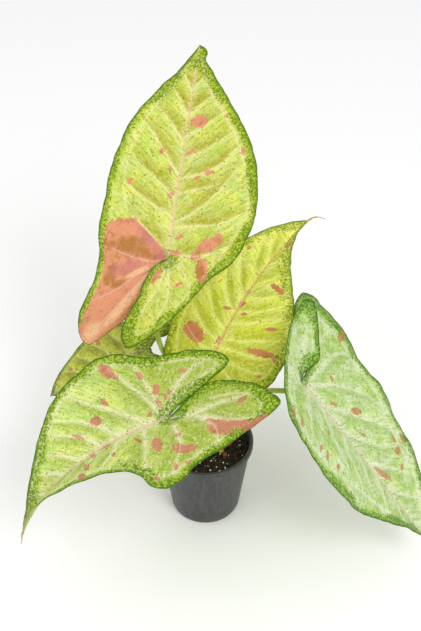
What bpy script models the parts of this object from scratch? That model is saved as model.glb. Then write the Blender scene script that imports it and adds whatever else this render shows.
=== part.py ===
"""Potted syngonium: a small nursery pot, its soil, a short stem and five arrowhead leaves on long petioles.

Units are metres, +Z is up, and the origin is the middle of the pot's base, on the surface it stands on.
The front of the plant faces -Y. Each leaf blade is drawn flat from its outline, folded, curled and
drooped by one bending rule, then turned onto the tip of its petiole.
"""
import math
import random

import bmesh
import bpy
import numpy as np
from mathutils import Vector
from mathutils.geometry import delaunay_2d_cdt

# Pot, a thin moulded nursery pot
POT_HEIGHT = 0.070
RIM_RADIUS = 0.0375
BASE_RADIUS = 0.0270
WALL = 0.0014
BASE_CORNER = 0.0025
LIP_HEIGHT = 0.0050
LIP_OUT = 0.0012
LIP_ROUND = 0.0006
POT_SIDES = 60
DRAIN_HOLES = 6
DRAIN_RADIUS = 0.0032
DRAIN_CIRCLE = 0.0195

# Clearance kept between pieces that touch, and how a round cutter is drawn
FIT = 0.0003
CUTTER_PAST = 0.0020
CUTTER_SIDES = 16

# Soil, heaped a little round the stem
SOIL_BELOW_RIM = 0.0080
SOIL_LUMP = 0.0011
SOIL_MOUND = 0.0020
SOIL_MOUND_REACH = 0.70
SOIL_EDGE_DROP = 0.0020
SOIL_EDGE_BACK = 0.0006
SOIL_RINGS = 7
SOIL_SIDES = 36
HOLE_BOTTOM = 0.0340
HOLE_PLAY = 0.0005

# Short main stem between the petioles
STEM_RADIUS = 0.0034
STEM_TOP = 0.0860
STEM_RINGS = (0.068, 0.077)
RING_RAISE = 0.0003
RING_SPREAD = 0.0012
TIP_SHARE = (0.85, 0.55)
TIP_HEIGHT = 0.0020
STEM_SIDES = 12

# Petioles, thicker where they sheathe the stem
PETIOLE_SIDES = 8
PETIOLE_RINGS = 18
UPRIGHT = (0.050, 0.063)
SHEATH_RADIUS = 0.0029
PETIOLE_RADIUS = 0.0020
SHEATH_SHARE = 0.45

# Blades
BLADE = 0.0008
LOBE = 0.45
HALF_WIDTH = 0.40
CROSSING = 0.03
CROSSING_START = 0.04
MARGIN_STEP = 0.0078
GRID_STEP = 0.0092

# Leaf poses. Lengths in metres, angles in degrees. A pair is (right half, left half), seen from above with
# the apex ahead. fold lifts the halves to a V, at the lobes, the junction and the apex; cross is the slope of
# a lobe where it passes the midline; curl, lift, sweep, lobe_sweep and wave are shares of the blade's length.
# The outlines run in blade lengths from the sinus round the lobe to the apex, x outwards, y along the midrib.
# The petiole rises from its base in the soil through the places listed, and ends under the junction.
LEAVES = {
    "top": {
        "at": (-0.027, 0.047, 0.214), "length": 0.158, "heading": -12, "rise": 47, "roll": -8,
        "fold_lobe": (10, 12), "fold": (10, 12), "fold_tip": (8, 14), "cross": (20, 20),
        "curl": (0.04, 0.04), "lift": (0.12, -0.04), "droop": 2, "lobe_droop": 15,
        "sweep": 0.0, "lobe_sweep": (-0.16, -0.10), "wave": (0.010, 0.012), "waves": 3.2,
        "right": [(0, -.015), (-.034, -.042), (-.053, -.06), (-.06, -.10), (-.064, -.15), (-.054, -.20),
                  (-.056, -.28), (-.048, -.34), (-.02, -.39), (.035, -.43), (.09, -.39), (.15, -.31),
                  (.20, -.20), (.245, -.09), (.33, 0), (.38, .11), (.40, .24), (.38, .42), (.31, .58),
                  (.19, .745), (.065, .90), (.043, .93), (.047, .957), (.033, .983), (0, 1)],
        "left": [(0, -.015), (.042, -.048), (.052, -.12), (.075, -.205), (.112, -.31), (.185, -.40),
                 (.26, -.47), (.32, -.43), (.35, -.32), (.33, -.18), (.33, -.04), (.355, .11), (.345, .24),
                 (.33, .42), (.275, .60), (.17, .76), (.08, .87), (.03, .95), (0, 1)],
        "base": (-.0028, .0070),
        "petiole": [(-.0145, .021, .104), (-.035, .0285, .147), (-.037, .042, .178), (-.027, .055, .203)],
    },
    "rear": {
        "at": (0.005, 0.0125, 0.144), "length": 0.140, "heading": -30, "rise": 34.5, "roll": 0,
        "fold_lobe": (0, 12), "fold": (0, 12), "fold_tip": (14, 10), "cross": (10, 10),
        "curl": (0.04, 0.04), "lift": (0.0, 0.0), "droop": 25, "lobe_droop": 80,
        "sweep": 0.10, "lobe_sweep": (0.0, 0.0), "wave": (0.010, 0.008), "waves": 3.0,
        "right": [(0, -.015), (-.012, -.07), (-.01, -.13), (.03, -.18), (.10, -.20), (.20, -.19),
                  (.29, -.13), (.35, -.02), (.375, .10), (.37, .20), (.345, .30), (.285, .42), (.155, .61),
                  (.09, .71), (.04, .81), (.01, .91), (0, 1)],
        "left": [(0, -.015), (.04, -.09), (.10, -.16), (.17, -.17), (.24, -.11), (.28, .01), (.31, .14),
                 (.31, .28), (.28, .44), (.23, .63), (.175, .78), (.10, .90), (.04, .965), (0, 1)],
        "base": (.0047, .0060),
        "petiole": [(.009, .008, .098), (.012, .012, .122), (.0085, .017, .135)],
    },
    "front": {
        "at": (-0.027, -0.060, 0.153), "length": 0.142, "heading": 111, "rise": -2, "roll": 0,
        "fold_lobe": (25, 5), "fold": (25, 5), "fold_tip": (30, 45), "cross": (20, 20),
        "curl": (0.02, 0.03), "lift": (0.0, 0.25), "droop": 66, "lobe_droop": 5,
        "sweep": 0.0, "lobe_sweep": (0.02, 0.02), "wave": (0.010, 0.012), "waves": 3.0,
        "right": [(0, -.015), (.036, -.065), (.064, -.13), (.088, -.196), (.113, -.25), (.145, -.315),
                  (.178, -.38), (.205, -.412), (.25, -.392), (.29, -.33), (.325, -.20), (.345, -.08),
                  (.36, .01), (.42, .12), (.44, .22), (.41, .30), (.35, .42), (.26, .55), (.14, .70),
                  (.05, .86), (0, 1)],
        "left": [(0, -.015), (-.02, -.06), (-.04, -.125), (-.05, -.185), (-.044, -.24), (-.018, -.292),
                 (.033, -.334), (.10, -.375), (.18, -.413), (.265, -.435), (.342, -.449), (.352, -.42),
                 (.36, -.34), (.34, -.18), (.34, -.05), (.40, .04), (.43, .13), (.40, .195), (.32, .225),
                 (.265, .275), (.245, .35), (.235, .44), (.215, .54), (.19, .64), (.12, .80), (.03, .95),
                 (0, 1)],
        "base": (-.0038, -.0066),
        "petiole": [(-.008, -.018, .104), (-.018, -.040, .134), (-.025, -.055, .144)],
    },
    "right": {
        "at": (0.071, -0.023, 0.152), "length": 0.158, "heading": -118, "rise": -45.5, "roll": -5,
        "fold_lobe": (-14, 2), "fold": (20, 10), "fold_tip": (12, 6), "cross": (36, 10),
        "curl": (0.03, 0.03), "lift": (0.20, -0.03), "droop": 2, "lobe_droop": -12,
        "sweep": 0.0, "lobe_sweep": (-0.40, -0.28), "wave": (0.008, 0.010), "waves": 3.0,
        "right": [(0, -.015), (-.03, -.032), (-.08, -.026), (-.118, -.030), (-.136, -.06), (-.135, -.13),
                  (-.12, -.20), (-.08, -.258), (-.02, -.295), (.06, -.29), (.13, -.26), (.20, -.19),
                  (.28, -.11), (.36, -.01), (.41, .10), (.40, .20), (.40, .36), (.34, .52), (.21, .69),
                  (.08, .85), (.015, .95), (0, 1)],
        "left": [(0, -.015), (.06, -.03), (.08, -.07), (.095, -.13), (.12, -.20), (.18, -.26), (.27, -.26),
                 (.37, -.20), (.43, -.09), (.42, .06), (.41, .28), (.39, .45), (.35, .60), (.27, .78),
                 (.15, .91), (.04, .98), (0, 1)],
        "base": (.0071, -.0026),
        "petiole": [(.014, -.010, .098), (.026, -.020, .125), (.043, -.024, .1445), (.061, -.0235, .1455)],
    },
    "left": {
        "at": (-0.047, 0.029, 0.138), "length": 0.098, "heading": 84, "rise": -24, "roll": 0,
        "fold_lobe": (10, 10), "fold": (10, 10), "fold_tip": (15, 15), "cross": (10, 10),
        "curl": (0.04, 0.04), "lift": (0.0, 0.0), "droop": 25, "lobe_droop": 35,
        "sweep": 0.0, "lobe_sweep": (0.0, 0.0), "wave": (0.010, 0.010), "waves": 2.5,
        "right": [(0, -.015), (.006, -.065), (.04, -.08), (.085, -.105), (.12, -.18), (.20, -.21),
                  (.29, -.12), (.36, .01), (.41, .16), (.44, .32), (.43, .48), (.38, .62), (.27, .77),
                  (.12, .92), (0, 1)],
        "left": [(0, -.015), (.006, -.065), (.05, -.08), (.10, -.11), (.15, -.23), (.25, -.27), (.34, -.19),
                 (.41, -.04), (.44, .13), (.42, .31), (.35, .50), (.26, .67), (.14, .83), (.06, .93),
                 (0, 1)],
        "base": (-.0074, .0016),
        "petiole": [(-.017, .008, .098), (-.034, .021, .121), (-.0435, .0285, .130)],
    },
}

# Surface of each material: colour, roughness, metallic value
COLOURS = {
    "pot": ((0.045, 0.045, 0.043), 0.45, 0.0),
    "soil": ((0.020, 0.013, 0.009), 0.95, 0.0),
    "stem": ((0.16, 0.20, 0.03), 0.55, 0.0),
    "petiole": ((0.19, 0.25, 0.02), 0.50, 0.0),
    "blade": ((0.50, 0.63, 0.20), 0.40, 0.0),
}


def clear_scene():
    """Remove every object that the file holds."""
    for thing in list(bpy.data.objects):
        bpy.data.objects.remove(thing, do_unlink=True)


def material(name):
    """One plain material with the colour listed for that kind of surface."""
    colour, roughness, metallic = COLOURS[name]
    made = bpy.data.materials.new(name)
    made.use_nodes = True
    shader = made.node_tree.nodes["Principled BSDF"]
    shader.inputs["Base Color"].default_value = (*colour, 1.0)
    shader.inputs["Roughness"].default_value = roughness
    shader.inputs["Metallic"].default_value = metallic
    made.diffuse_color = (*colour, 1.0)
    return made


def solid(name, points, faces, made_of, smooth_angle=40.0):
    """A mesh object with its faces turned outwards and its round stretches shaded smooth."""
    mesh = bpy.data.meshes.new(name)
    mesh.from_pydata([tuple(p) for p in points], [], faces)
    mesh.validate()
    work = bmesh.new()
    work.from_mesh(mesh)
    bmesh.ops.recalc_face_normals(work, faces=work.faces)
    work.to_mesh(mesh)
    work.free()
    mesh.shade_smooth()
    mesh.set_sharp_from_angle(angle=math.radians(smooth_angle))
    thing = bpy.data.objects.new(name, mesh)
    thing.data.materials.append(made_of)
    bpy.context.scene.collection.objects.link(thing)
    return thing


def round_cutters(name, holes, bottom, top):
    """Upright round cutters in one object, left out of the build. A hole is its x, y and radius."""
    points = []
    faces = []
    for x, y, radius in holes:
        first = len(points)
        for height in (bottom, top):
            for k in range(CUTTER_SIDES):
                angle = 2 * math.pi * k / CUTTER_SIDES
                points.append((x + radius * math.cos(angle), y + radius * math.sin(angle), height))
        low = list(range(first, first + CUTTER_SIDES))
        high = list(range(first + CUTTER_SIDES, first + 2 * CUTTER_SIDES))
        faces.append(tuple(low[::-1]))
        faces.append(tuple(high))
        for k in range(CUTTER_SIDES):
            after = (k + 1) % CUTTER_SIDES
            faces.append((low[k], low[after], high[after], high[k]))
    thing = solid(name, points, faces, material("soil"))
    thing.hide_render = True
    thing.display_type = "WIRE"
    return thing


def cut(thing, tool):
    """Subtract one cutter from a solid."""
    step = thing.modifiers.new("Cut " + tool.name, "BOOLEAN")
    step.operation = "DIFFERENCE"
    step.solver = "EXACT"
    step.object = tool


def turned(name, profile, sides, made_of):
    """A closed solid turned about Z from a profile that starts and ends at a flat face."""
    points = []
    for radius, height in profile:
        for k in range(sides):
            angle = 2 * math.pi * k / sides
            points.append((radius * math.cos(angle), radius * math.sin(angle), height))
    faces = [tuple(range(sides))]
    for ring in range(len(profile) - 1):
        low = ring * sides
        high = low + sides
        for k in range(sides):
            after = (k + 1) % sides
            faces.append((low + k, low + after, high + after, high + k))
    faces.append(tuple(range(len(points) - sides, len(points))))
    return solid(name, points, faces, made_of)


def wall_radius(height):
    """Outer radius of the pot's tapered wall at a height."""
    top = RIM_RADIUS - LIP_OUT
    return BASE_RADIUS + (top - BASE_RADIUS) * height / POT_HEIGHT


def make_pot():
    """The pot: flat base with drain holes round it, thin tapered wall and a turned-out lip."""
    lip_foot = POT_HEIGHT - LIP_HEIGHT
    soft = BASE_CORNER * (1 - math.sqrt(0.5))
    profile = [
        (BASE_RADIUS - BASE_CORNER, 0.0),
        (BASE_RADIUS - soft, soft),
        (wall_radius(BASE_CORNER), BASE_CORNER),
        (wall_radius(lip_foot), lip_foot),
        (RIM_RADIUS - LIP_ROUND / 3, lip_foot + LIP_ROUND / 2),
        (RIM_RADIUS, lip_foot + LIP_ROUND),
        (RIM_RADIUS, POT_HEIGHT - LIP_ROUND),
        (RIM_RADIUS - LIP_ROUND, POT_HEIGHT),
        (RIM_RADIUS - LIP_OUT - WALL + LIP_ROUND, POT_HEIGHT),
        (RIM_RADIUS - LIP_OUT - WALL, POT_HEIGHT - LIP_ROUND),
        (wall_radius(BASE_CORNER + WALL) - WALL, BASE_CORNER + WALL),
        (BASE_RADIUS - BASE_CORNER, WALL),
    ]
    pot = turned("pot", profile, POT_SIDES, material("pot"))
    drains = []
    for k in range(DRAIN_HOLES):
        angle = 2 * math.pi * (k + 0.5) / DRAIN_HOLES
        drains.append((DRAIN_CIRCLE * math.cos(angle), DRAIN_CIRCLE * math.sin(angle), DRAIN_RADIUS))
    cut(pot, round_cutters("drain_cutters", drains, -CUTTER_PAST, WALL + CUTTER_PAST))
    return pot


def soil_height(radius, lump):
    """Height of the soil at a distance from the middle, with a lump of -1 to 1: highest round the stem."""
    mound = SOIL_MOUND * max(0.0, 1 - radius / (SOIL_MOUND_REACH * RIM_RADIUS)) ** 2
    return POT_HEIGHT - SOIL_BELOW_RIM + mound + lump * SOIL_LUMP


def make_soil():
    """The soil: fills the pot to below the rim, with a plain hole for the stem and for each petiole."""
    rng = random.Random(7)
    bottom = WALL + FIT
    inner = wall_radius(bottom) - WALL - 2 * FIT
    foot = BASE_RADIUS - BASE_CORNER - FIT
    top = POT_HEIGHT - SOIL_BELOW_RIM
    edge = wall_radius(top - SOIL_EDGE_DROP) - WALL - 1.5 * FIT
    points = [(0.0, 0.0, bottom)]
    rings = [(foot, bottom), (inner, bottom + BASE_CORNER), (edge, top - SOIL_EDGE_DROP)]
    for radius, height in rings:
        for k in range(SOIL_SIDES):
            angle = 2 * math.pi * k / SOIL_SIDES
            points.append((radius * math.cos(angle), radius * math.sin(angle), height))
    for ring in range(SOIL_RINGS):
        radius = (edge - SOIL_EDGE_BACK) * (1 - ring / SOIL_RINGS)
        for k in range(SOIL_SIDES):
            angle = 2 * math.pi * (k + 0.5 * (ring % 2)) / SOIL_SIDES
            height = soil_height(radius, rng.uniform(-1, 1))
            points.append((radius * math.cos(angle), radius * math.sin(angle), height))
    points.append((0.0, 0.0, soil_height(0.0, 0.0)))
    last = len(points) - 1
    faces = []
    total = len(rings) + SOIL_RINGS
    for k in range(SOIL_SIDES):
        after = (k + 1) % SOIL_SIDES
        faces.append((0, 1 + after, 1 + k))
        for ring in range(total - 1):
            low = 1 + ring * SOIL_SIDES
            high = low + SOIL_SIDES
            faces.append((low + k, low + after, high + k))
            faces.append((low + after, high + after, high + k))
        high = 1 + (total - 1) * SOIL_SIDES
        faces.append((high + k, high + after, last))
    soil = solid("soil", points, faces, material("soil"), smooth_angle=20.0)
    holes = [(0.0, 0.0, STEM_RADIUS + FIT)]
    holes += [(*leaf["base"], SHEATH_RADIUS + HOLE_PLAY) for leaf in LEAVES.values()]
    cut(soil, round_cutters("stem_cutters", holes, HOLE_BOTTOM, POT_HEIGHT + CUTTER_PAST))
    return soil


def make_stem():
    """The short main stem with the scar rings of two fallen leaves."""
    thin = STEM_RADIUS - RING_RAISE
    profile = [(thin, HOLE_BOTTOM + FIT)]
    for height in STEM_RINGS:
        profile.append((thin, height - RING_SPREAD))
        profile.append((STEM_RADIUS, height))
        profile.append((thin, height + RING_SPREAD))
    low, high = TIP_SHARE
    profile += [(STEM_RADIUS * low, STEM_TOP - TIP_HEIGHT), (STEM_RADIUS * high, STEM_TOP)]
    return turned("stem", profile, STEM_SIDES, material("stem"))


def smooth_path(places, count):
    """Points evenly spaced by length along a centripetal Catmull-Rom curve through the given places."""
    given = np.array(places, float)
    given = np.vstack([2 * given[0] - given[1], given, 2 * given[-1] - given[-2]])
    dense = []
    for a, b, c, d in zip(given[:-3], given[1:-2], given[2:-1], given[3:]):
        tb = np.linalg.norm(b - a) ** 0.5
        tc = tb + np.linalg.norm(c - b) ** 0.5
        td = tc + np.linalg.norm(d - c) ** 0.5
        t = np.linspace(tb, tc, 24, endpoint=False)[:, None]
        ab = (tb - t) / tb * a + t / tb * b
        bc = (tc - t) / (tc - tb) * b + (t - tb) / (tc - tb) * c
        cd = (td - t) / (td - tc) * c + (t - tc) / (td - tc) * d
        abc = (tc - t) / tc * ab + t / tc * bc
        bcd = (td - t) / (td - tb) * bc + (t - tb) / (td - tb) * cd
        dense.append((tc - t) / (tc - tb) * abc + (t - tb) / (tc - tb) * bcd)
    dense = np.vstack(dense + [given[-2][None]])
    run = np.concatenate([[0], np.cumsum(np.linalg.norm(np.diff(dense, axis=0), axis=1))])
    wanted = np.linspace(0, run[-1], count)
    return np.stack([np.interp(wanted, run, dense[:, k]) for k in range(dense.shape[1])], 1)


def turn(axis, degrees):
    """Rotation matrix about a main axis."""
    c = math.cos(math.radians(degrees))
    s = math.sin(math.radians(degrees))
    return {
        "X": np.array([[1, 0, 0], [0, c, -s], [0, s, c]]),
        "Y": np.array([[c, 0, s], [0, 1, 0], [-s, 0, c]]),
        "Z": np.array([[c, -s, 0], [s, c, 0], [0, 0, 1]]),
    }[axis]


def facing(leaf):
    """How the flat leaf is turned: its columns are right, ahead and up."""
    return turn("Z", leaf["heading"]) @ turn("X", leaf["rise"]) @ turn("Y", leaf["roll"])


def ease(t):
    """Smooth step from 0 to 1."""
    t = np.clip(t, 0, 1)
    return t * t * (3 - 2 * t)


def arc(distance, total, reach):
    """Along, down and angle after a distance on an arc that turns by total degrees over reach."""
    bend = math.radians(total) / reach
    angle = bend * distance
    return np.sin(angle) / bend, (1 - np.cos(angle)) / bend, angle


def bend_blade(flat, leaf, hand):
    """Folded, curled and drooped places of flat points on the right (+1) or left (-1) half, junction at 0."""
    length = leaf["length"]
    side = 0 if hand > 0 else 1
    out = flat[:, 0] * hand
    share = flat[:, 1] / length
    back = np.clip(-share / LOBE, 0, None)
    ahead = np.clip(share, 0, None)
    wide = np.clip(out / (HALF_WIDTH * length), 0, None)
    fold = leaf["fold"][side] + (leaf["fold_tip"][side] - leaf["fold"][side]) * ease(share / 0.8)
    fold = fold + (leaf["fold_lobe"][side] - fold) * ease(back)
    past = ease(0.5 - out / (2 * CROSSING * length)) * ease(back / CROSSING_START)
    fold = np.radians(fold - past * (fold + leaf["cross"][side]))
    ripple = leaf["wave"][side] * wide ** 3 * np.sin(2 * math.pi * leaf["waves"] * share + side)
    bulge = leaf["lift"][side] * back ** 1.5 - leaf["curl"][side] * wide ** 2 + ripple
    height = out * np.sin(fold) + length * bulge
    across = hand * out * np.cos(fold)
    across = across + length * (leaf["sweep"] * ahead ** 2 + leaf["lobe_sweep"][side] * back ** 1.5)
    front, front_drop, front_angle = arc(ahead * length, leaf["droop"], length)
    rear, rear_drop, rear_angle = arc(back * LOBE * length, leaf["lobe_droop"], LOBE * length)
    angle = np.where(share >= 0, front_angle, -rear_angle)
    along = np.where(share >= 0, front, -rear) + height * np.sin(angle)
    up = np.where(share >= 0, -front_drop, -rear_drop) + height * np.cos(angle)
    return np.stack([across, along, up], 1)


def surface(flat, leaf, hand):
    """World places and upward normals of flat points on one half of a blade."""
    spin = facing(leaf)
    step = 1e-4
    centre = bend_blade(flat, leaf, hand)
    right = bend_blade(flat + [hand * step, 0], leaf, hand) - centre
    ahead = bend_blade(flat + [0, step], leaf, hand) - centre
    normal = np.cross(right * hand, ahead)
    normal = normal / np.linalg.norm(normal, axis=1)[:, None]
    return centre @ spin.T + np.array(leaf["at"]), normal @ spin.T


def inside(points, outline):
    """Which points lie inside a closed outline, and how far each lies from it."""
    after = np.roll(outline, -1, axis=0)
    run = after - outline
    span = points[:, None] - outline[None]
    share = np.clip((span * run).sum(2) / (run ** 2).sum(1), 0, 1)
    away = np.linalg.norm(span - share[..., None] * run, axis=2).min(1)
    crosses = (outline[:, 1] > points[:, None, 1]) != (after[:, 1] > points[:, None, 1])
    rise = np.where(run[:, 1] == 0, 1.0, run[:, 1])
    meets = outline[:, 0] + (points[:, None, 1] - outline[:, 1]) / rise * run[:, 0]
    return (crosses & (points[:, None, 0] < meets)).sum(1) % 2 == 1, away


def flat_half(leaf, side):
    """One flat half as points (out from the midrib, ahead), their names and triangles seen from above."""
    length = leaf["length"]
    reach = np.linalg.norm(np.diff(np.array(leaf[side]), axis=0), axis=1).sum() * length
    margin = smooth_path(leaf[side], round(reach / MARGIN_STEP) + 1) * length
    ribs = round(length / MARGIN_STEP)
    midrib = np.stack([np.zeros(ribs), length * (1 - np.arange(1, ribs + 1) / ribs)], 1)
    outline = np.vstack([margin, midrib])
    names = ["notch"] + [(side, k) for k in range(1, len(margin) - 1)] + ["apex"]
    names += [("midrib", k) for k in range(1, ribs)] + ["junction"]
    low = outline.min(0)
    high = outline.max(0)
    grid = []
    for row, y in enumerate(np.arange(low[1], high[1], GRID_STEP * math.sqrt(0.75))):
        for x in np.arange(low[0] + GRID_STEP / 2 * (row % 2), high[0], GRID_STEP):
            grid.append((x, y))
    grid = np.array(grid)
    within, away = inside(grid, outline)
    grid = grid[within & (away > GRID_STEP * 0.5)]
    names += [(side, "inner", k) for k in range(len(grid))]
    points = np.vstack([outline, grid])
    edges = [(k, (k + 1) % len(outline)) for k in range(len(outline))]
    corners = [Vector(p) for p in points]
    _, _, triangles, origins, _, _ = delaunay_2d_cdt(corners, edges, [], 0, 1e-7, True)
    triangles = np.array([[origins[v][0] for v in t] for t in triangles])
    within, _ = inside(points[triangles].mean(axis=1), outline)
    return points, names, triangles[within], len(margin)


def make_blade(name, leaf):
    """One arrowhead blade: two halves that share the midrib, alike on both faces, with a thin rim."""
    index = {}
    places = []
    ups = []
    triangles = []
    rims = []
    for side, hand in (("right", 1), ("left", -1)):
        points, names, half, margin_count = flat_half(leaf, side)
        spots, normals = surface(points * [hand, 1], leaf, hand)
        for key, spot, normal in zip(names, spots, normals):
            if key in index:
                ups[index[key]] = ups[index[key]] + normal
            else:
                index[key] = len(places)
                places.append(spot)
                ups.append(normal)
        numbers = [index[key] for key in names]
        for triangle in half:
            corners = [numbers[v] for v in triangle]
            triangles.append(corners if hand > 0 else corners[::-1])
        rims.append(numbers[:margin_count])
    places = np.array(places)
    ups = np.array(ups)
    ups = ups / np.linalg.norm(ups, axis=1)[:, None]
    count = len(places)
    faces = triangles + [[v + count for v in corners[::-1]] for corners in triangles]
    for rim in rims:
        for a, b in zip(rim[:-1], rim[1:]):
            faces.append([a, b, b + count, a + count])
    points = np.vstack([places, places - ups * BLADE])
    return solid("blade_" + name, points, faces, material("blade"), smooth_angle=60.0)


def make_petiole(name, leaf):
    """One petiole: a tapered round stalk from its soil hole to just under the blade's junction."""
    up = facing(leaf)[:, 2]
    end = np.array(leaf["at"]) - up * (BLADE + FIT)
    upright = [(*leaf["base"], height) for height in (HOLE_BOTTOM + FIT, *UPRIGHT)]
    path = smooth_path(upright + leaf["petiole"] + [tuple(end)], PETIOLE_RINGS)
    directions = np.gradient(path, axis=0)
    directions[0] = (0, 0, 1)
    directions[-1] = up
    points = []
    side = Vector((1, 0, 0))
    for k, (place, direction) in enumerate(zip(path, directions)):
        axis = Vector(direction).normalized()
        side = (side - axis * side.dot(axis)).normalized()
        other = axis.cross(side)
        along = k / (PETIOLE_RINGS - 1)
        radius = PETIOLE_RADIUS + (SHEATH_RADIUS - PETIOLE_RADIUS) * (1 - float(ease(along / SHEATH_SHARE)))
        for n in range(PETIOLE_SIDES):
            angle = 2 * math.pi * n / PETIOLE_SIDES
            points.append(Vector(place) + radius * (math.cos(angle) * side + math.sin(angle) * other))
    faces = []
    for k in range(PETIOLE_RINGS - 1):
        low = k * PETIOLE_SIDES
        high = low + PETIOLE_SIDES
        for n in range(PETIOLE_SIDES):
            after = (n + 1) % PETIOLE_SIDES
            faces.append((low + n, low + after, high + after, high + n))
    faces.append(tuple(range(PETIOLE_SIDES)))
    faces.append(tuple(range((PETIOLE_RINGS - 1) * PETIOLE_SIDES, PETIOLE_RINGS * PETIOLE_SIDES)))
    return solid("petiole_" + name, points, faces, material("petiole"))


def main():
    clear_scene()
    make_pot()
    make_soil()
    make_stem()
    for name, leaf in LEAVES.items():
        make_petiole(name, leaf)
        make_blade(name, leaf)


main()
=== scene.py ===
# %% [markdown]
# # A potted syngonium
# A young arrowhead plant in a small nursery pot: five pink-splashed leaves on long stalks. The imported model
# gives every piece its place and size. This lesson dresses it: it swaps each plain solid for a fine one of
# the same form, and gives it a finish made from noise, distances and a few listed splashes, with no
# picture behind it.

# %% Load the imported model
import math
import random

import bpy
import numpy as np
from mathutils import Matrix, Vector
from mathutils.geometry import delaunay_2d_cdt


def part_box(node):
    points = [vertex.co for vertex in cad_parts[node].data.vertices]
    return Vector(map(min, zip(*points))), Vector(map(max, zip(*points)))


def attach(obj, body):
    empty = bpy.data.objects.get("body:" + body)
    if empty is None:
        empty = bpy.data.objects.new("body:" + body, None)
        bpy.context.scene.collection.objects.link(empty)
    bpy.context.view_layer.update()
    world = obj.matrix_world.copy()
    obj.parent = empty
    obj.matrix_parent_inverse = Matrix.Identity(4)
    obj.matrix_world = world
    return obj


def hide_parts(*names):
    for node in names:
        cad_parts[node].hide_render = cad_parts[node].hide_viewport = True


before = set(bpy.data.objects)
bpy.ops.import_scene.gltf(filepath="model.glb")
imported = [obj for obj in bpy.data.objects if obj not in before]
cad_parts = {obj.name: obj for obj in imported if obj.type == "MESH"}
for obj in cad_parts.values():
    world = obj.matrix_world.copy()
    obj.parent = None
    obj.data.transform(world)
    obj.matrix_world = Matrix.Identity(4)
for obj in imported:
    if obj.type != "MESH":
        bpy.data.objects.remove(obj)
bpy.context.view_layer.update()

print("packed nodes:", len(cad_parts))

# %% [markdown]
# ## Small helpers
# Colours are given as sRGB hex values, but shaders count in linear light, so one function converts
# them. Another adds a node with its values and links, in a shader tree or a Geometry Nodes tree alike. The
# others link an object to the scene, make one from points and faces, and make and join rings of points.

# %% Colour, node and mesh helpers
def linear(colour):
    """Linear RGBA of an sRGB hex colour."""
    parts = [int(colour[k:k + 2], 16) / 255 for k in (1, 3, 5)]
    return (*[p / 12.92 if p <= 0.04045 else ((p + 0.055) / 1.055) ** 2.4 for p in parts], 1.0)


def add_node(tree, kind, sockets=None, **properties):
    """Add a node. A socket gets a value, or a link where the value is another node's output."""
    node = tree.nodes.new(kind)
    for name, value in properties.items():
        setattr(node, name, value)
    for socket, value in (sockets or {}).items():
        if isinstance(value, bpy.types.NodeSocket):
            tree.links.new(value, node.inputs[socket])
        else:
            node.inputs[socket].default_value = value
    return node


def put_in_scene(name, data):
    """Link a new object with its data to the scene."""
    thing = bpy.data.objects.new(name, data)
    bpy.context.scene.collection.objects.link(thing)
    return thing


def make_object(name, points, faces=(), edges=()):
    """A smooth mesh object at the origin, with its place in its mesh."""
    mesh = bpy.data.meshes.new(name)
    mesh.from_pydata([tuple(p) for p in points], edges, [tuple(int(v) for v in f) for f in faces])
    mesh.polygons.foreach_set("use_smooth", [True] * len(mesh.polygons))
    mesh.update()
    return put_in_scene(name, mesh)


def ring(radius, height, sides):
    """Points of a level circle round the Z axis."""
    angles = [2 * math.pi * k / sides for k in range(sides)]
    return [(radius * math.cos(angle), radius * math.sin(angle), height) for angle in angles]


def join_rings(first, second, sides, rising):
    """Quads that face out and join two rings of points, each given by the number of its first point."""
    steps = [(k, (k + 1) % sides) for k in range(sides)]
    # A quad runs the other way round where the second ring is the upper one
    if rising:
        return [(first + k, first + after, second + after, second + k) for k, after in steps]
    return [(first + k, second + k, second + after, first + after) for k, after in steps]


# %% [markdown]
# ## Camera, floor and light
# The photograph looks down on the plant from in front, at about 40 degrees. The rim of the pot shows as an
# ellipse, and its shape gives the angle, its size the distance. The light is a bright soft studio: an even
# white surround, one large soft lamp high on the left and a weaker one on the right.

# %% Camera
CAMERA_PLACE = (0.004, -0.597, 0.697)
CAMERA_DOWN = 40.0
IMAGE_HEIGHT = 631
FOCAL_PIXELS = 1100
SENSOR = 36.0
view = bpy.data.cameras.new("view")
view.sensor_fit = "AUTO"
view.sensor_width = SENSOR
view.lens = FOCAL_PIXELS / IMAGE_HEIGHT * SENSOR
view.clip_start = 0.01
camera = put_in_scene("view", view)
camera.location = CAMERA_PLACE
camera.rotation_euler = (math.radians(90 - CAMERA_DOWN), 0, 0)
bpy.context.scene.camera = camera
bpy.context.scene.view_settings.view_transform = "Standard"
print("lens:", round(view.lens, 1), "mm")

# %% Floor and light
FLOOR_HALF = 3.0
WORLD_LIGHT = 0.82
corners = [(x * FLOOR_HALF, y * FLOOR_HALF, 0) for x, y in ((-1, -1), (1, -1), (1, 1), (-1, 1))]
floor = make_object("floor", corners, [(0, 1, 2, 3)])
paper = bpy.data.materials.new("matt white paper")
paper.use_nodes = True
matt = paper.node_tree.nodes["Principled BSDF"]
matt.inputs["Base Color"].default_value = linear("#ffffff")
matt.inputs["Roughness"].default_value = 0.9
floor.data.materials.append(paper)
world = bpy.data.worlds.new("white surround")
world.use_nodes = True
surround = world.node_tree.nodes["Background"]
surround.inputs["Color"].default_value = linear("#ffffff")
surround.inputs["Strength"].default_value = WORLD_LIGHT
bpy.context.scene.world = world


def add_lamp(name, place, target, size, power):
    """A square soft lamp that faces a point."""
    light = bpy.data.lights.new(name, "AREA")
    light.size = size
    light.energy = power
    lamp = put_in_scene(name, light)
    lamp.location = place
    lamp.rotation_euler = (Vector(target) - Vector(place)).to_track_quat("-Z", "Y").to_euler()


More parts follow.
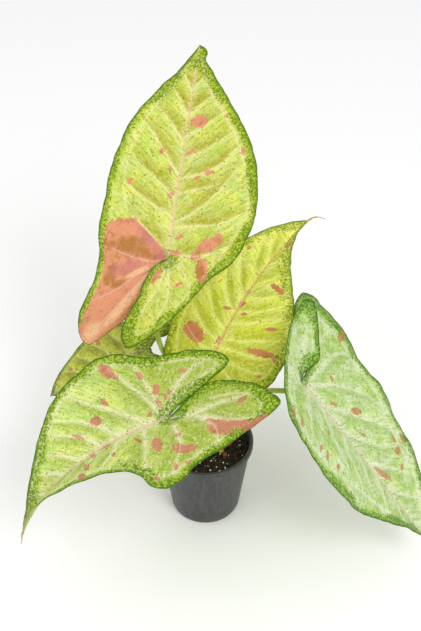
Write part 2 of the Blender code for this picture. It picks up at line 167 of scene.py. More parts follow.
add_lamp("key", (0.55, -0.95, 1.35), (0, 0, 0.15), 0.6, 9.5)
add_lamp("fill", (-1.1, -0.6, 0.9), (0, 0, 0.15), 0.9, 3.0)
print("lamps:", len(bpy.data.lights))

# %% [markdown]
# ## The forms of the five leaves
# A syngonium leaf is an arrowhead: a blade with a midrib, and two lobes that reach back past the stalk.
# Each leaf here is a flat outline, bent by one rule: folded to a shallow V, curled, drooped to an arc and
# waved at its rim. The numbers repeat those of the solids, so the fine leaf lies where the plain one does.
# An outline runs in blade lengths from the notch, round the lobe, to the tip, x outwards from the midrib
# and y along it.

# %% Leaf shapes
# A pair is (right half, left half), seen from above with the tip ahead.
LOBE = 0.45
HALF_WIDTH = 0.40
CROSSING = 0.03
CROSSING_START = 0.04
FOLD_SHARE = 0.8
LEAVES = {
    "top": {
        "at": (-0.027, 0.047, 0.214), "length": 0.158, "heading": -12, "rise": 47, "roll": -8,
        "fold_lobe": (10, 12), "fold": (10, 12), "fold_tip": (8, 14), "cross": (20, 20),
        "curl": (0.04, 0.04), "lift": (0.12, -0.04), "droop": 2, "lobe_droop": 15,
        "sweep": 0.0, "lobe_sweep": (-0.16, -0.10), "wave": (0.010, 0.012), "waves": 3.2,
        "right": [
            (0, -.015), (-.034, -.042), (-.053, -.06), (-.06, -.1), (-.064, -.15), (-.054, -.2),
            (-.056, -.28), (-.048, -.34), (-.02, -.39), (.035, -.43), (.09, -.39), (.15, -.31), (.2, -.2),
            (.245, -.09), (.33, 0), (.38, .11), (.4, .24), (.38, .42), (.31, .58), (.19, .745), (.065, .9),
            (.043, .93), (.047, .957), (.033, .983), (0, 1)],
        "left": [
            (0, -.015), (.042, -.048), (.052, -.12), (.075, -.205), (.112, -.31), (.185, -.4), (.26, -.47),
            (.32, -.43), (.35, -.32), (.33, -.18), (.33, -.04), (.355, .11), (.345, .24), (.33, .42),
            (.275, .6), (.17, .76), (.08, .87), (.03, .95), (0, 1)],
    },
    "rear": {
        "at": (0.005, 0.0125, 0.144), "length": 0.140, "heading": -30, "rise": 34.5, "roll": 0,
        "fold_lobe": (0, 12), "fold": (0, 12), "fold_tip": (14, 10), "cross": (10, 10),
        "curl": (0.04, 0.04), "lift": (0.0, 0.0), "droop": 25, "lobe_droop": 80,
        "sweep": 0.10, "lobe_sweep": (0.0, 0.0), "wave": (0.010, 0.008), "waves": 3.0,
        "right": [
            (0, -.015), (-.012, -.07), (-.01, -.13), (.03, -.18), (.1, -.2), (.2, -.19), (.29, -.13),
            (.35, -.02), (.375, .1), (.37, .2), (.345, .3), (.285, .42), (.155, .61), (.09, .71),
            (.04, .81), (.01, .91), (0, 1)],
        "left": [
            (0, -.015), (.04, -.09), (.1, -.16), (.17, -.17), (.24, -.11), (.28, .01), (.31, .14),
            (.31, .28), (.28, .44), (.23, .63), (.175, .78), (.1, .9), (.04, .965), (0, 1)],
    },
    "front": {
        "at": (-0.027, -0.060, 0.153), "length": 0.142, "heading": 111, "rise": -2, "roll": 0,
        "fold_lobe": (25, 5), "fold": (25, 5), "fold_tip": (30, 45), "cross": (20, 20),
        "curl": (0.02, 0.03), "lift": (0.0, 0.25), "droop": 66, "lobe_droop": 5,
        "sweep": 0.0, "lobe_sweep": (0.02, 0.02), "wave": (0.010, 0.012), "waves": 3.0,
        "right": [
            (0, -.015), (.036, -.065), (.064, -.13), (.088, -.196), (.113, -.25), (.145, -.315),
            (.178, -.38), (.205, -.412), (.25, -.392), (.29, -.33), (.325, -.2), (.345, -.08), (.36, .01),
            (.42, .12), (.44, .22), (.41, .3), (.35, .42), (.26, .55), (.14, .7), (.05, .86), (0, 1)],
        "left": [
            (0, -.015), (-.02, -.06), (-.04, -.125), (-.05, -.185), (-.044, -.24), (-.018, -.292),
            (.033, -.334), (.1, -.375), (.18, -.413), (.265, -.435), (.342, -.449), (.352, -.42),
            (.36, -.34), (.34, -.18), (.34, -.05), (.4, .04), (.43, .13), (.4, .195), (.32, .225),
            (.265, .275), (.245, .35), (.235, .44), (.215, .54), (.19, .64), (.12, .8), (.03, .95), (0, 1)],
    },
    "right": {
        "at": (0.071, -0.023, 0.152), "length": 0.158, "heading": -118, "rise": -45.5, "roll": -5,
        "fold_lobe": (-14, 2), "fold": (20, 10), "fold_tip": (12, 6), "cross": (36, 10),
        "curl": (0.03, 0.03), "lift": (0.20, -0.03), "droop": 2, "lobe_droop": -12,
        "sweep": 0.0, "lobe_sweep": (-0.40, -0.28), "wave": (0.008, 0.010), "waves": 3.0,
        "right": [
            (0, -.015), (-.03, -.032), (-.08, -.026), (-.118, -.03), (-.136, -.06), (-.135, -.13),
            (-.12, -.2), (-.08, -.258), (-.02, -.295), (.06, -.29), (.13, -.26), (.2, -.19), (.28, -.11),
            (.36, -.01), (.41, .1), (.4, .2), (.4, .36), (.34, .52), (.21, .69), (.08, .85), (.015, .95),
            (0, 1)],
        "left": [
            (0, -.015), (.06, -.03), (.08, -.07), (.095, -.13), (.12, -.2), (.18, -.26), (.27, -.26),
            (.37, -.2), (.43, -.09), (.42, .06), (.41, .28), (.39, .45), (.35, .6), (.27, .78), (.15, .91),
            (.04, .98), (0, 1)],
    },
    "left": {
        "at": (-0.047, 0.029, 0.138), "length": 0.098, "heading": 84, "rise": -24, "roll": 0,
        "fold_lobe": (10, 10), "fold": (10, 10), "fold_tip": (15, 15), "cross": (10, 10),
        "curl": (0.04, 0.04), "lift": (0.0, 0.0), "droop": 25, "lobe_droop": 35,
        "sweep": 0.0, "lobe_sweep": (0.0, 0.0), "wave": (0.010, 0.010), "waves": 2.5,
        "right": [
            (0, -.015), (.006, -.065), (.04, -.08), (.085, -.105), (.12, -.18), (.2, -.21), (.29, -.12),
            (.36, .01), (.41, .16), (.44, .32), (.43, .48), (.38, .62), (.27, .77), (.12, .92), (0, 1)],
        "left": [
            (0, -.015), (.006, -.065), (.05, -.08), (.1, -.11), (.15, -.23), (.25, -.27), (.34, -.19),
            (.41, -.04), (.44, .13), (.42, .31), (.35, .5), (.26, .67), (.14, .83), (.06, .93), (0, 1)],
    },
}
print("leaves:", ", ".join(LEAVES))

# %% [markdown]
# ## Bending a flat leaf
# A smooth curve through the outline's points gives the rim. The bending rule takes any point of the flat
# leaf and says where it is in the air. The way up at that point comes from two tiny steps beside it, as
# their cross product.

# %% Curve and bending rule
def smooth_path(places, count):
    """Points evenly spaced by length along a centripetal Catmull-Rom curve through the given places."""
    given = np.array(places, float)
    given = np.vstack([2 * given[0] - given[1], given, 2 * given[-1] - given[-2]])
    dense = []
    for a, b, c, d in zip(given[:-3], given[1:-2], given[2:-1], given[3:]):
        tb = np.linalg.norm(b - a) ** 0.5
        tc = tb + np.linalg.norm(c - b) ** 0.5
        td = tc + np.linalg.norm(d - c) ** 0.5
        t = np.linspace(tb, tc, 40, endpoint=False)[:, None]
        ab = (tb - t) / tb * a + t / tb * b
        bc = (tc - t) / (tc - tb) * b + (t - tb) / (tc - tb) * c
        cd = (td - t) / (td - tc) * c + (t - tc) / (td - tc) * d
        abc = (tc - t) / tc * ab + t / tc * bc
        bcd = (td - t) / (td - tb) * bc + (t - tb) / (td - tb) * cd
        dense.append((tc - t) / (tc - tb) * abc + (t - tb) / (tc - tb) * bcd)
    dense = np.vstack(dense + [given[-2][None]])
    run = np.concatenate([[0], np.cumsum(np.linalg.norm(np.diff(dense, axis=0), axis=1))])
    wanted = np.linspace(0, run[-1], count)
    return np.stack([np.interp(wanted, run, dense[:, k]) for k in range(dense.shape[1])], 1)


def turn(axis, degrees):
    """Rotation matrix about a main axis."""
    c = math.cos(math.radians(degrees))
    s = math.sin(math.radians(degrees))
    return {
        "X": np.array([[1, 0, 0], [0, c, -s], [0, s, c]]),
        "Y": np.array([[c, 0, s], [0, 1, 0], [-s, 0, c]]),
        "Z": np.array([[c, -s, 0], [s, c, 0], [0, 0, 1]]),
    }[axis]


def facing(leaf):
    """How the flat leaf is turned: its columns are right, ahead and up."""
    return turn("Z", leaf["heading"]) @ turn("X", leaf["rise"]) @ turn("Y", leaf["roll"])


def ease(t):
    """Smooth step from 0 to 1."""
    t = np.clip(t, 0, 1)
    return t * t * (3 - 2 * t)


def arc(distance, total, reach):
    """Along, down and angle after a distance on an arc that turns by total degrees over reach."""
    bend = math.radians(total) / reach
    angle = bend * distance
    return np.sin(angle) / bend, (1 - np.cos(angle)) / bend, angle


def bend_blade(flat, leaf, hand):
    """Folded, curled and drooped places of flat points on the right (+1) or left (-1) half, junction at 0."""
    length = leaf["length"]
    side = 0 if hand > 0 else 1
    out = flat[:, 0] * hand
    share = flat[:, 1] / length
    back = np.clip(-share / LOBE, 0, None)
    ahead = np.clip(share, 0, None)
    wide = np.clip(out / (HALF_WIDTH * length), 0, None)
    fold = leaf["fold"][side]
    fold = fold + (leaf["fold_tip"][side] - fold) * ease(share / FOLD_SHARE)
    fold = fold + (leaf["fold_lobe"][side] - fold) * ease(back)
    past = ease(0.5 - out / (2 * CROSSING * length)) * ease(back / CROSSING_START)
    fold = np.radians(fold - past * (fold + leaf["cross"][side]))
    ripple = leaf["wave"][side] * wide ** 3 * np.sin(2 * math.pi * leaf["waves"] * share + side)
    bulge = leaf["lift"][side] * back ** 1.5 - leaf["curl"][side] * wide ** 2 + ripple
    height = out * np.sin(fold) + length * bulge
    across = hand * out * np.cos(fold)
    across = across + length * (leaf["sweep"] * ahead ** 2 + leaf["lobe_sweep"][side] * back ** 1.5)
    front, front_drop, front_angle = arc(ahead * length, leaf["droop"], length)
    rear, rear_drop, rear_angle = arc(back * LOBE * length, leaf["lobe_droop"], LOBE * length)
    angle = np.where(share >= 0, front_angle, -rear_angle)
    along = np.where(share >= 0, front, -rear) + height * np.sin(angle)
    up = np.where(share >= 0, -front_drop, -rear_drop) + height * np.cos(angle)
    return np.stack([across, along, up], 1)


def surface(flat, leaf, hand):
    """World places and upward normals of flat points on one half of a blade."""
    spin = facing(leaf)
    step = 1e-4
    centre = bend_blade(flat, leaf, hand)
    right = bend_blade(flat + [hand * step, 0], leaf, hand) - centre
    ahead = bend_blade(flat + [0, step], leaf, hand) - centre
    normal = np.cross(right * hand, ahead)
    normal = normal / np.linalg.norm(normal, axis=1)[:, None]
    return centre @ spin.T + np.array(leaf["at"]), normal @ spin.T


# %% [markdown]
# ## Where the veins run
# The veins give such a leaf most of its look. A midrib runs to the tip, side veins leave it and arch
# forward, stout ribs run back into the lobes, and one marginal vein joins their ends a little inside the
# rim. Each is a line of a few given points in the flat leaf, in blade lengths. Colour, grooves above,
# ridges below and a painted shade, partly a darker tone of the blade, in the trough on a side vein's upper
# side are all drawn from the distance to these lines.

# %% Vein lines of each half
VEINS = {
    ("top", "right"): {
        "side": [
            [(0, .01), (.1, .005), (.2, .02), (.3, .07)], [(0, .13), (.11, .145), (.22, .16), (.335, .22)],
            [(0, .15), (.09, .2), (.18, .28), (.29, .43)], [(0, .29), (.1, .315), (.21, .35)],
            [(0, .36), (.11, .39), (.2, .44), (.27, .53)], [(0, .45), (.11, .5), (.225, .585)],
            [(0, .56), (.08, .61), (.17, .68)], [(0, .66), (.06, .72), (.12, .77)],
            [(0, .78), (.03, .82), (.06, .86)]],
        "lobe": [
            [(0, -.01), (.05, -.12), (.09, -.21), (.09, -.32)], [(0, -.01), (.01, -.15), (-.01, -.3)],
            [(0, -.01), (.09, -.06), (.17, -.14)]],
        "rim": [[
            (.02, .93), (.1, .77), (.175, .68), (.24, .59), (.29, .5), (.33, .4), (.353, .31), (.355, .22),
            (.33, .13), (.27, .03), (.2, -.1), (.15, -.22), (.1, -.32), (.03, -.37), (-.02, -.33)]],
    },
    ("top", "left"): {
        "side": [
            [(0, .005), (.058, .055), (.125, .11), (.18, .15)],
            [(0, .175), (.1, .222), (.18, .267), (.247, .31)],
            [(0, .26), (.1, .339), (.18, .394), (.24, .45)],
            [(0, .37), (.09, .478), (.152, .556), (.197, .6)], [(0, .52), (.08, .62), (.158, .683)],
            [(0, .65), (.06, .74), (.1, .79)], [(0, .77), (.035, .83), (.06, .87)]],
        "lobe": [
            [(0, -.01), (.03, -.03), (.12, -.035), (.2, -.02), (.27, 0)],
            [(0, -.01), (.05, -.05), (.12, -.1), (.2, -.18), (.27, -.23), (.31, -.25)],
            [(.05, -.05), (.11, -.15), (.17, -.25), (.26, -.4)]],
        "rim": [[
            (.02, .93), (.1, .79), (.158, .7), (.213, .59), (.247, .49), (.26, .4), (.26, .31), (.247, .23),
            (.22, .18), (.18, .15)]],
    },
    ("rear", "right"): {
        "side": [
            [(0, 0), (.12, .01), (.25, .01), (.31, .03)], [(0, .07), (.13, .08), (.23, .09), (.33, .12)],
            [(0, .12), (.127, .145), (.2, .18), (.32, .23)],
            [(0, .21), (.115, .255), (.2, .31), (.28, .35)], [(0, .29), (.13, .33), (.23, .4)],
            [(0, .385), (.115, .417), (.2, .47)], [(0, .48), (.08, .53), (.13, .59)],
            [(0, .6), (.04, .65), (.08, .7)]],
        "lobe": [[(0, -.01), (.1, -.05), (.2, -.11)]],
        "rim": [[
            (.01, .92), (.03, .8), (.07, .7), (.12, .6), (.18, .51), (.24, .42), (.29, .33), (.32, .23),
            (.33, .12), (.31, .02), (.26, -.08)]],
    },
    ("rear", "left"): {
        "side": [
            [(0, .03), (.1, .05), (.22, .12)], [(0, .1), (.1, .13), (.24, .24)],
            [(0, .17), (.095, .22), (.17, .31), (.22, .37)],
            [(0, .28), (.085, .345), (.15, .44), (.18, .5)], [(0, .37), (.08, .467), (.14, .58)],
            [(0, .5), (.06, .59), (.1, .7)], [(0, .62), (.05, .73), (.07, .8)]],
        "lobe": [[(0, -.01), (.08, -.06), (.14, -.12)]],
        "rim": [[
            (.01, .95), (.06, .87), (.11, .78), (.15, .68), (.18, .58), (.2, .48), (.23, .36), (.25, .24),
            (.25, .12), (.22, .02), (.17, -.08)]],
    },
    ("front", "right"): {
        "side": [
            [(0, -.01), (.06, 0), (.15, .02), (.31, .05)], [(0, .01), (.12, .05), (.21, .095), (.36, .16)],
            [(0, .09), (.06, .14), (.14, .22), (.22, .29), (.33, .37)],
            [(0, .23), (.09, .3), (.18, .38), (.26, .48)], [(0, .33), (.1, .4), (.2, .52)],
            [(0, .46), (.07, .51), (.15, .59)], [(0, .57), (.07, .64), (.11, .7)],
            [(0, .7), (.04, .76), (.06, .81)]],
        "lobe": [
            [(0, -.01), (.06, -.04), (.1, -.12), (.15, -.22), (.19, -.33)],
            [(.03, -.02), (.13, -.09), (.2, -.17), (.24, -.28)]],
        "rim": [[
            (.01, .93), (.05, .82), (.1, .72), (.16, .63), (.22, .55), (.28, .46), (.335, .37), (.37, .28),
            (.385, .2), (.36, .12), (.32, .04), (.3, -.05), (.28, -.18), (.24, -.3), (.2, -.35)]],
    },
    ("front", "left"): {
        "side": [
            [(0, -.02), (.08, -.02), (.18, -.01), (.27, .03), (.35, .09)],
            [(0, .12), (.09, .135), (.18, .16), (.3, .2)], [(0, .24), (.08, .29), (.15, .34), (.2, .38)],
            [(0, .36), (.07, .42), (.16, .5)], [(0, .47), (.06, .53), (.14, .62)],
            [(0, .58), (.05, .65), (.09, .72)]],
        "lobe": [
            [(0, -.02), (.04, -.09), (.12, -.16), (.2, -.22), (.28, -.29), (.33, -.37)],
            [(.06, -.11), (.09, -.22), (.16, -.34)], [(.12, -.16), (.22, -.18), (.3, -.16)]],
        "rim": [[
            (.01, .93), (.07, .78), (.13, .66), (.165, .55), (.18, .45), (.2, .36), (.24, .28), (.3, .2),
            (.35, .15), (.36, .1), (.33, .03), (.3, -.04), (.29, -.12), (.295, -.22), (.32, -.33),
            (.28, -.38), (.18, -.36), (.1, -.3), (.04, -.22)]],
    },
    ("right", "right"): {
        "side": [
            [(0, -.01), (.095, -.05), (.184, -.055), (.24, -.01), (.31, .04)],
            [(0, .03), (.16, .078), (.25, .106), (.35, .15)],
            [(0, .12), (.107, .24), (.15, .305), (.207, .417)], [(0, .28), (.1, .38), (.2, .52)],
            [(0, .42), (.08, .5), (.17, .62)], [(0, .55), (.062, .63), (.13, .7)],
            [(0, .7), (.04, .77), (.08, .8)]],
        "lobe": [[(0, -.01), (-.04, -.08), (-.06, -.18)], [(0, -.01), (.03, -.12), (.05, -.24)]],
        "rim": [[
            (.01, .92), (.06, .82), (.11, .74), (.155, .66), (.19, .58), (.22, .5), (.26, .42), (.3, .35),
            (.33, .27), (.34, .2), (.35, .12), (.32, .05), (.25, -.07), (.17, -.15), (.08, -.22),
            (-.02, -.21), (-.1, -.15)]],
    },
    ("right", "left"): {
        "side": [
            [(0, .03), (.08, .08), (.15, .14), (.21, .21), (.27, .29), (.31, .38)],
            [(0, .14), (.08, .24), (.15, .34), (.27, .5)], [(0, .3), (.06, .4), (.13, .5), (.24, .6)],
            [(0, .5), (.06, .57), (.18, .72)], [(0, .66), (.05, .74), (.12, .83)],
            [(0, 0), (.12, .03), (.25, .04), (.36, .1)]],
        "lobe": [[(0, -.01), (.1, -.06), (.2, -.14), (.26, -.2)], [(.06, -.03), (.2, -.06), (.34, -.04)]],
        "rim": [[
            (.02, .95), (.1, .88), (.19, .79), (.23, .68), (.26, .58), (.3, .48), (.32, .4), (.35, .3),
            (.36, .18), (.36, .05), (.35, -.07), (.28, -.18)]],
    },
    ("left", "right"): {
        "side": [
            [(0, .02), (.13, .07), (.34, .22)], [(0, .14), (.13, .2), (.36, .4)],
            [(0, .28), (.12, .36), (.32, .57)], [(0, .44), (.1, .52), (.25, .71)],
            [(0, .6), (.07, .68), (.15, .82)]],
        "lobe": [[(0, -.01), (.1, -.06), (.19, -.12)]],
        "rim": [[
            (.02, .94), (.12, .85), (.22, .74), (.3, .62), (.35, .48), (.37, .33), (.34, .18), (.29, .05),
            (.2, -.11)]],
    },
    ("left", "left"): {
        "side": [
            [(0, .02), (.13, .06), (.34, .19)], [(0, .15), (.13, .21), (.35, .38)],
            [(0, .29), (.12, .37), (.29, .54)], [(0, .45), (.09, .53), (.22, .68)],
            [(0, .61), (.06, .69), (.13, .8)]],
        "lobe": [[(0, -.01), (.1, -.08), (.19, -.17)]],
        "rim": [[
            (.02, .94), (.1, .83), (.18, .71), (.26, .57), (.32, .41), (.355, .25), (.35, .1), (.31, -.04),
            (.2, -.19)]],
    },
}
MIDRIB = {"width": 0.0010, "strength": 1.0, "groove": 0.0006, "halo": 0.0060}
KINDS = {
    "side": {"width": 0.0006, "strength": 0.85, "groove": 0.0004, "halo": 0.0032},
    "lobe": {"width": 0.0008, "strength": 0.85, "groove": 0.0005, "halo": 0.0040},
    "rim": {"width": 0.0006, "strength": 0.60, "groove": 0.0002, "halo": 0.0022},
}
VEIN_STEP = 0.0008
VEIN_TAPER = 0.5


def vein_line(points, length):
    """A smooth vein through places given in blade lengths."""
    reach = np.linalg.norm(np.diff(np.array(points, float), axis=0), axis=1).sum() * length
    return smooth_path(points, max(4, round(reach / VEIN_STEP))) * length


def half_veins(name, side, length):
    """The veins of one half, as lines with their kinds."""
    veins = [("midrib", vein_line([(0, 0), (0, .5), (0, .99)], length), MIDRIB)]
    for kind, look in KINDS.items():
        veins += [(kind, vein_line(points, length), look) for points in VEINS[name, side][kind]]
    return veins


print("vein lines:", sum(len(half_veins(name, side, 1.0)) for name in LEAVES for side in ("right", "left")))

# %% [markdown]
# ## A fine flat leaf
# Each half is filled with points: the rim, the midrib, three rows along every vein, so that it stays crisp,
# and an even grid for the rest. A Delaunay triangulation joins them with near-equal triangles, which bend
# well.

# %% Fine triangles of one half
GRID = 0.00095
CHUNK = 2000
NEAREST = 0.00055
RIM_WANDER = 0.00010
WANDER_FADE = 0.010
WAVELENGTHS = (0.021, 0.013, 0.0083, 0.0056)


def inside(points, outline):
    """Which points lie inside a closed outline, and how far each lies from it."""
    after = np.roll(outline, -1, axis=0)
    run = after - outline
    within = np.zeros(len(points), bool)
    away = np.zeros(len(points))
    for first in range(0, len(points), CHUNK):
        part = points[first:first + CHUNK]
        span = part[:, None] - outline[None]
        share = np.clip((span * run).sum(2) / (run ** 2).sum(1), 0, 1)
        away[first:first + CHUNK] = np.linalg.norm(span - share[..., None] * run, axis=2).min(1)
        crosses = (outline[:, 1] > part[:, None, 1]) != (after[:, 1] > part[:, None, 1])
        rise = np.where(run[:, 1] == 0, 1.0, run[:, 1])
        meets = outline[:, 0] + (part[:, None, 1] - outline[:, 1]) / rise * run[:, 0]
        within[first:first + CHUNK] = (crosses & (part[:, None, 0] < meets)).sum(1) % 2 == 1
    return within, away


def spaced(points, kept, gap):
    """The points that keep a gap to those kept and to each other, taken in order."""
    cells = {}
    for x, y in kept:
        cells.setdefault((int(x // gap), int(y // gap)), []).append((x, y))
    chosen = []
    for x, y in points:
        column = int(x // gap)
        row = int(y // gap)
        near = [p for i in (-1, 0, 1) for j in (-1, 0, 1) for p in cells.get((column + i, row + j), ())]
        if all((x - a) ** 2 + (y - b) ** 2 >= gap * gap for a, b in near):
            chosen.append((x, y))
            cells.setdefault((column, row), []).append((x, y))
    return np.array(chosen)


def fine_margin(leaf, side, seed):
    """The smooth margin with a slight seeded wander, its two ends kept."""
    length = leaf["length"]
    reach = np.linalg.norm(np.diff(np.array(leaf[side]), axis=0), axis=1).sum() * length
    margin = smooth_path(leaf[side], round(reach / GRID) + 1) * length
    rng = random.Random(seed)
    along = np.linspace(0, reach, len(margin))
    wander = np.zeros(len(margin))
    for wavelength in WAVELENGTHS:
        wave = np.sin(2 * math.pi * along / wavelength + rng.uniform(0, 6.28))
        wander += wave * wavelength / WAVELENGTHS[1]
    ahead = np.gradient(margin, axis=0)
    outwards = np.stack([ahead[:, 1], -ahead[:, 0]], 1)
    outwards = outwards / np.linalg.norm(outwards, axis=1)[:, None]
    fade = np.clip(np.minimum(along, reach - along) / WANDER_FADE, 0, 1)
    return margin + outwards * (wander * fade * RIM_WANDER)[:, None]


def flat_half(name, leaf, side, seed):
    """One fine flat half: points, names, triangles, margin count and its veins."""
    length = leaf["length"]
    margin = fine_margin(leaf, side, seed)
    veins = half_veins(name, side, length)
    steps = round(length / GRID)
    midrib = np.stack([np.zeros(steps), length * (1 - np.arange(1, steps + 1) / steps)], 1)
    outline = np.vstack([margin, midrib])
    names = ["notch"] + [(side, k) for k in range(1, len(margin) - 1)] + ["apex"]
    names += [("midrib", k) for k in range(1, steps)] + ["junction"]
    rows = []
    for _, line, look in veins:
        across = np.gradient(line, axis=0)[:, ::-1] * [-1, 1]
        across = across / np.linalg.norm(across, axis=1)[:, None] * look["width"]
        rows += [line, line + across, line - across]
    low = outline.min(0)
    high = outline.max(0)
    for number, y in enumerate(np.arange(low[1], high[1], GRID * math.sqrt(0.75))):
        xs = np.arange(low[0] + GRID / 2 * (number % 2), high[0], GRID)
        rows.append(np.stack([xs, np.full(len(xs), y)], 1))
    candidates = np.vstack(rows)
    within, away = inside(candidates, outline)
    candidates = candidates[within & (away > NEAREST)]
    grid = spaced(candidates, outline, NEAREST)
    names += [(side, "inner", k) for k in range(len(grid))]
    points = np.vstack([outline, grid])
    edges = [(k, (k + 1) % len(outline)) for k in range(len(outline))]
    _, _, triangles, origins, _, _ = delaunay_2d_cdt([Vector(p) for p in points], edges, [], 0, 1e-8, True)
    triangles = np.array([[origins[v][0] for v in t] for t in triangles])
    within, _ = inside(points[triangles].mean(axis=1), outline)
    return points, names, triangles[within], len(margin), veins


# %% [markdown]
# ## Splashes
# The pink of this plant comes in sharp-edged splashes, listed here for each leaf: a place in the
# flat leaf (negative x is the left half), half its length and half its width in millimetres, and the way it
# points in degrees clockwise from the midrib. On the top leaf almost the whole left lobe is pink, so that
# has an outline of its own, and brown, rose and light tints within it.

# %% Splashes of each leaf
SPLASHES = {
    "top": [
        (.06, .635, 6.5, 4.5, 80), (.04, .49, 4.5, 1.2, 60), (.2, .065, 9, 5, 60), (.24, .09, 5, 4, 20),
        (.19, -.05, 9, 4.5, -20), (.14, .01, 4, 3, 60), (.04, .012, 5, 2.2, 90), (.05, .09, 3, 1.6, 60),
        (.295, .51, 3, 1.8, 0), (-.1, .48, 3, 1.5, 30), (-.23, .32, 3, 1.8, 20), (-.02, -.1, 7, 2.2, 10),
        (.145, .4, 4, 2.2, 80), (-.03, .28, 3.5, 1.8, 40), (.185, .665, 2, 1.2, 60),
        (.09, .37, 2.5, 1.5, 70), (-.05, .4, 2, 1.2, 0), (.11, -.13, 3, 1.5, 60)],
    "rear": [
        (-.145, .09, 9, 6, -60), (-.19, .105, 5, 4.5, 0), (.235, .12, 11, 2.6, 82), (.32, .11, 3, 1.5, 120),
        (.145, .485, 7.5, 2.2, 112), (.01, .34, 2.8, 2.6, 0), (-.055, .285, 3, 1.6, 80),
        (-.01, .105, 2.6, 2, 0), (.025, .78, 3.4, 1.6, 20), (-.15, .67, 2.2, 1.6, 0),
        (.23, .26, 5, 1.6, 70), (.05, .29, 2.2, 1.6, 60), (0, .42, 3, 1.2, 0), (.28, 0, 3, 1, 60)],
    "front": [
        (.35, .17, 7, 3.6, 70), (.31, .15, 5, 1.5, 60), (.26, .045, 3.6, 1.8, 80),
        (.16, -.005, 4.5, 2.4, 110), (.09, .005, 4, 1.8, 80), (.13, -.06, 2.6, 1.3, 100),
        (.11, -.035, 2.4, 1.2, 90), (.2, .235, 3.6, 1.8, 70), (.13, .305, 4, 3.6, 40),
        (.115, .415, 5, 1.2, 50), (.045, .065, 2.4, 1.4, 110), (.22, -.16, 4, 1.5, 20),
        (-.01, .32, 3.5, 2.2, 0), (-.03, .39, 4, 2, 70), (-.11, .43, 6, 2.2, 80),
        (-.18, .455, 4.5, 2.4, 70), (-.155, .095, 6.5, 3.6, 100), (-.19, .1, 2.6, 1.2, 90),
        (-.24, -.02, 8, 3.8, 20), (-.22, 0, 4.5, 3, 90), (-.23, -.2, 11, 5.4, 55),
        (-.16, -.175, 4.5, 1.6, 60), (-.29, -.27, 11, 2.8, 55), (-.35, -.33, 8, 3.4, 10),
        (-.18, -.325, 3, 2.6, 30), (-.32, .06, 3.5, 1.8, 90), (-.36, .16, 3, 1.6, 80), (-.32, 0, 2, 1.6, 0),
        (-.13, -.02, 2, 1.6, 0), (-.08, .17, 3.6, 1.3, 60), (-.2, .03, 3.4, 1, 110),
        (-.11, .295, 2.8, 1.5, 90)],
    "right": [
        (-.38, .02, 5, 3.2, 80), (-.15, .3, 5.5, 2.6, -40), (-.06, .18, 3.4, 1.5, -40),
        (-.15, .1, 2.6, 1.6, 0), (-.22, .61, 5, 3, 90), (-.25, .56, 3.5, 2.2, 0), (-.17, .67, 3, 1.8, 60),
        (-.035, .6, 9, 2.4, -20), (.3, -.01, 4.4, 2, 80), (.3, .05, 3.6, 1.6, 80), (.3, .19, 3, 2, 90),
        (.29, .24, 4, 1.8, 70), (.27, .32, 3.6, 1.8, 80), (-.09, .4, 3, 1.2, -30), (-.3, .6, 5, 2, 20),
        (.15, .21, 3, 1.6, 60)],
    "left": [(.12, .74, 3, 2, 30), (.25, .45, 4, 2, 60)],
}
PINK_LOBE = [
    (0, 0), (.058, .055), (.125, .11), (.18, .15), (.25, .145), (.31, .12), (.315, .02), (.295, -.08),
    (.295, -.18), (.32, -.3), (.335, -.38), (.33, -.46), (.26, -.56), (.1, -.36), (.02, -.2), (0, -.05)]
TINTS = {
    "top": {
        "brown": [
            (-.19, .018, 18, 8, 95), (-.1, -.005, 9, 4.5, 110), (-.25, -.12, 9, 5, 20),
            (-.2, -.16, 9, 3, 55), (.17, -.06, 9, 6, -20)],
        "rose": [(-.1, .065, 17, 5, -50), (-.05, .005, 8, 5, -60), (-.18, -.075, 15, 6, 60)],
        "light": [(-.155, -.27, 28, 4, 27), (-.27, -.42, 13, 8, 20), (-.12, -.09, 12, 2.2, 55)],
    },
    "right": {
        "rose": [(-.035, .6, 11, 4, -20)],
    },
}
TINT_KINDS = ("brown", "rose", "light")
RAGGED = 0.6
LOBE_BLUR = 0.004


def blotch_value(blotches, length, points, hand):
    """Above 0 inside a blotch, 1 in its middle, and below 0 outside."""
    value = np.full(len(points), -3.0)
    for x, y, long, wide, degrees in blotches:
        away = points - np.array([x * hand, y]) * length
        c = math.cos(math.radians(degrees * hand))
        s = math.sin(math.radians(degrees * hand))
        along = (away[:, 1] * c + away[:, 0] * s) / (long * 0.001)
        across = (away[:, 0] * c - away[:, 1] * s) / (wide * 0.001)
        value = np.maximum(value, 1 - np.sqrt(along ** 2 + across ** 2))
    return value


def splash_fields(name, length, points, hand):
    """Where the splashes of one half lie, with the top leaf's pink lobe, and the tints within them."""
    pink = blotch_value(SPLASHES[name], length, points, hand)
    tints = TINTS.get(name, {})
    fields = {kind: blotch_value(tints.get(kind, []), length, points, hand) for kind in TINT_KINDS}
    if name == "top" and hand < 0:
        within, away = inside(points, np.array(PINK_LOBE) * length)
        pink = np.maximum(pink, np.where(within, away, -away) / LOBE_BLUR)
    fields["pink"] = np.clip(pink, -3, 1)
    return {key: RAGGED * value for key, value in fields.items()}


# %% [markdown]
# ## From flat halves to a leaf
# The halves share their midrib and their tip. The blade is pillowed between its veins, grooved along them
# above and ridged below, and about 0.4 mm thick. What the finish needs goes into the mesh as attributes:
# how near a vein is, how far the rim is, where a splash lies, and whether a point is on the underside.

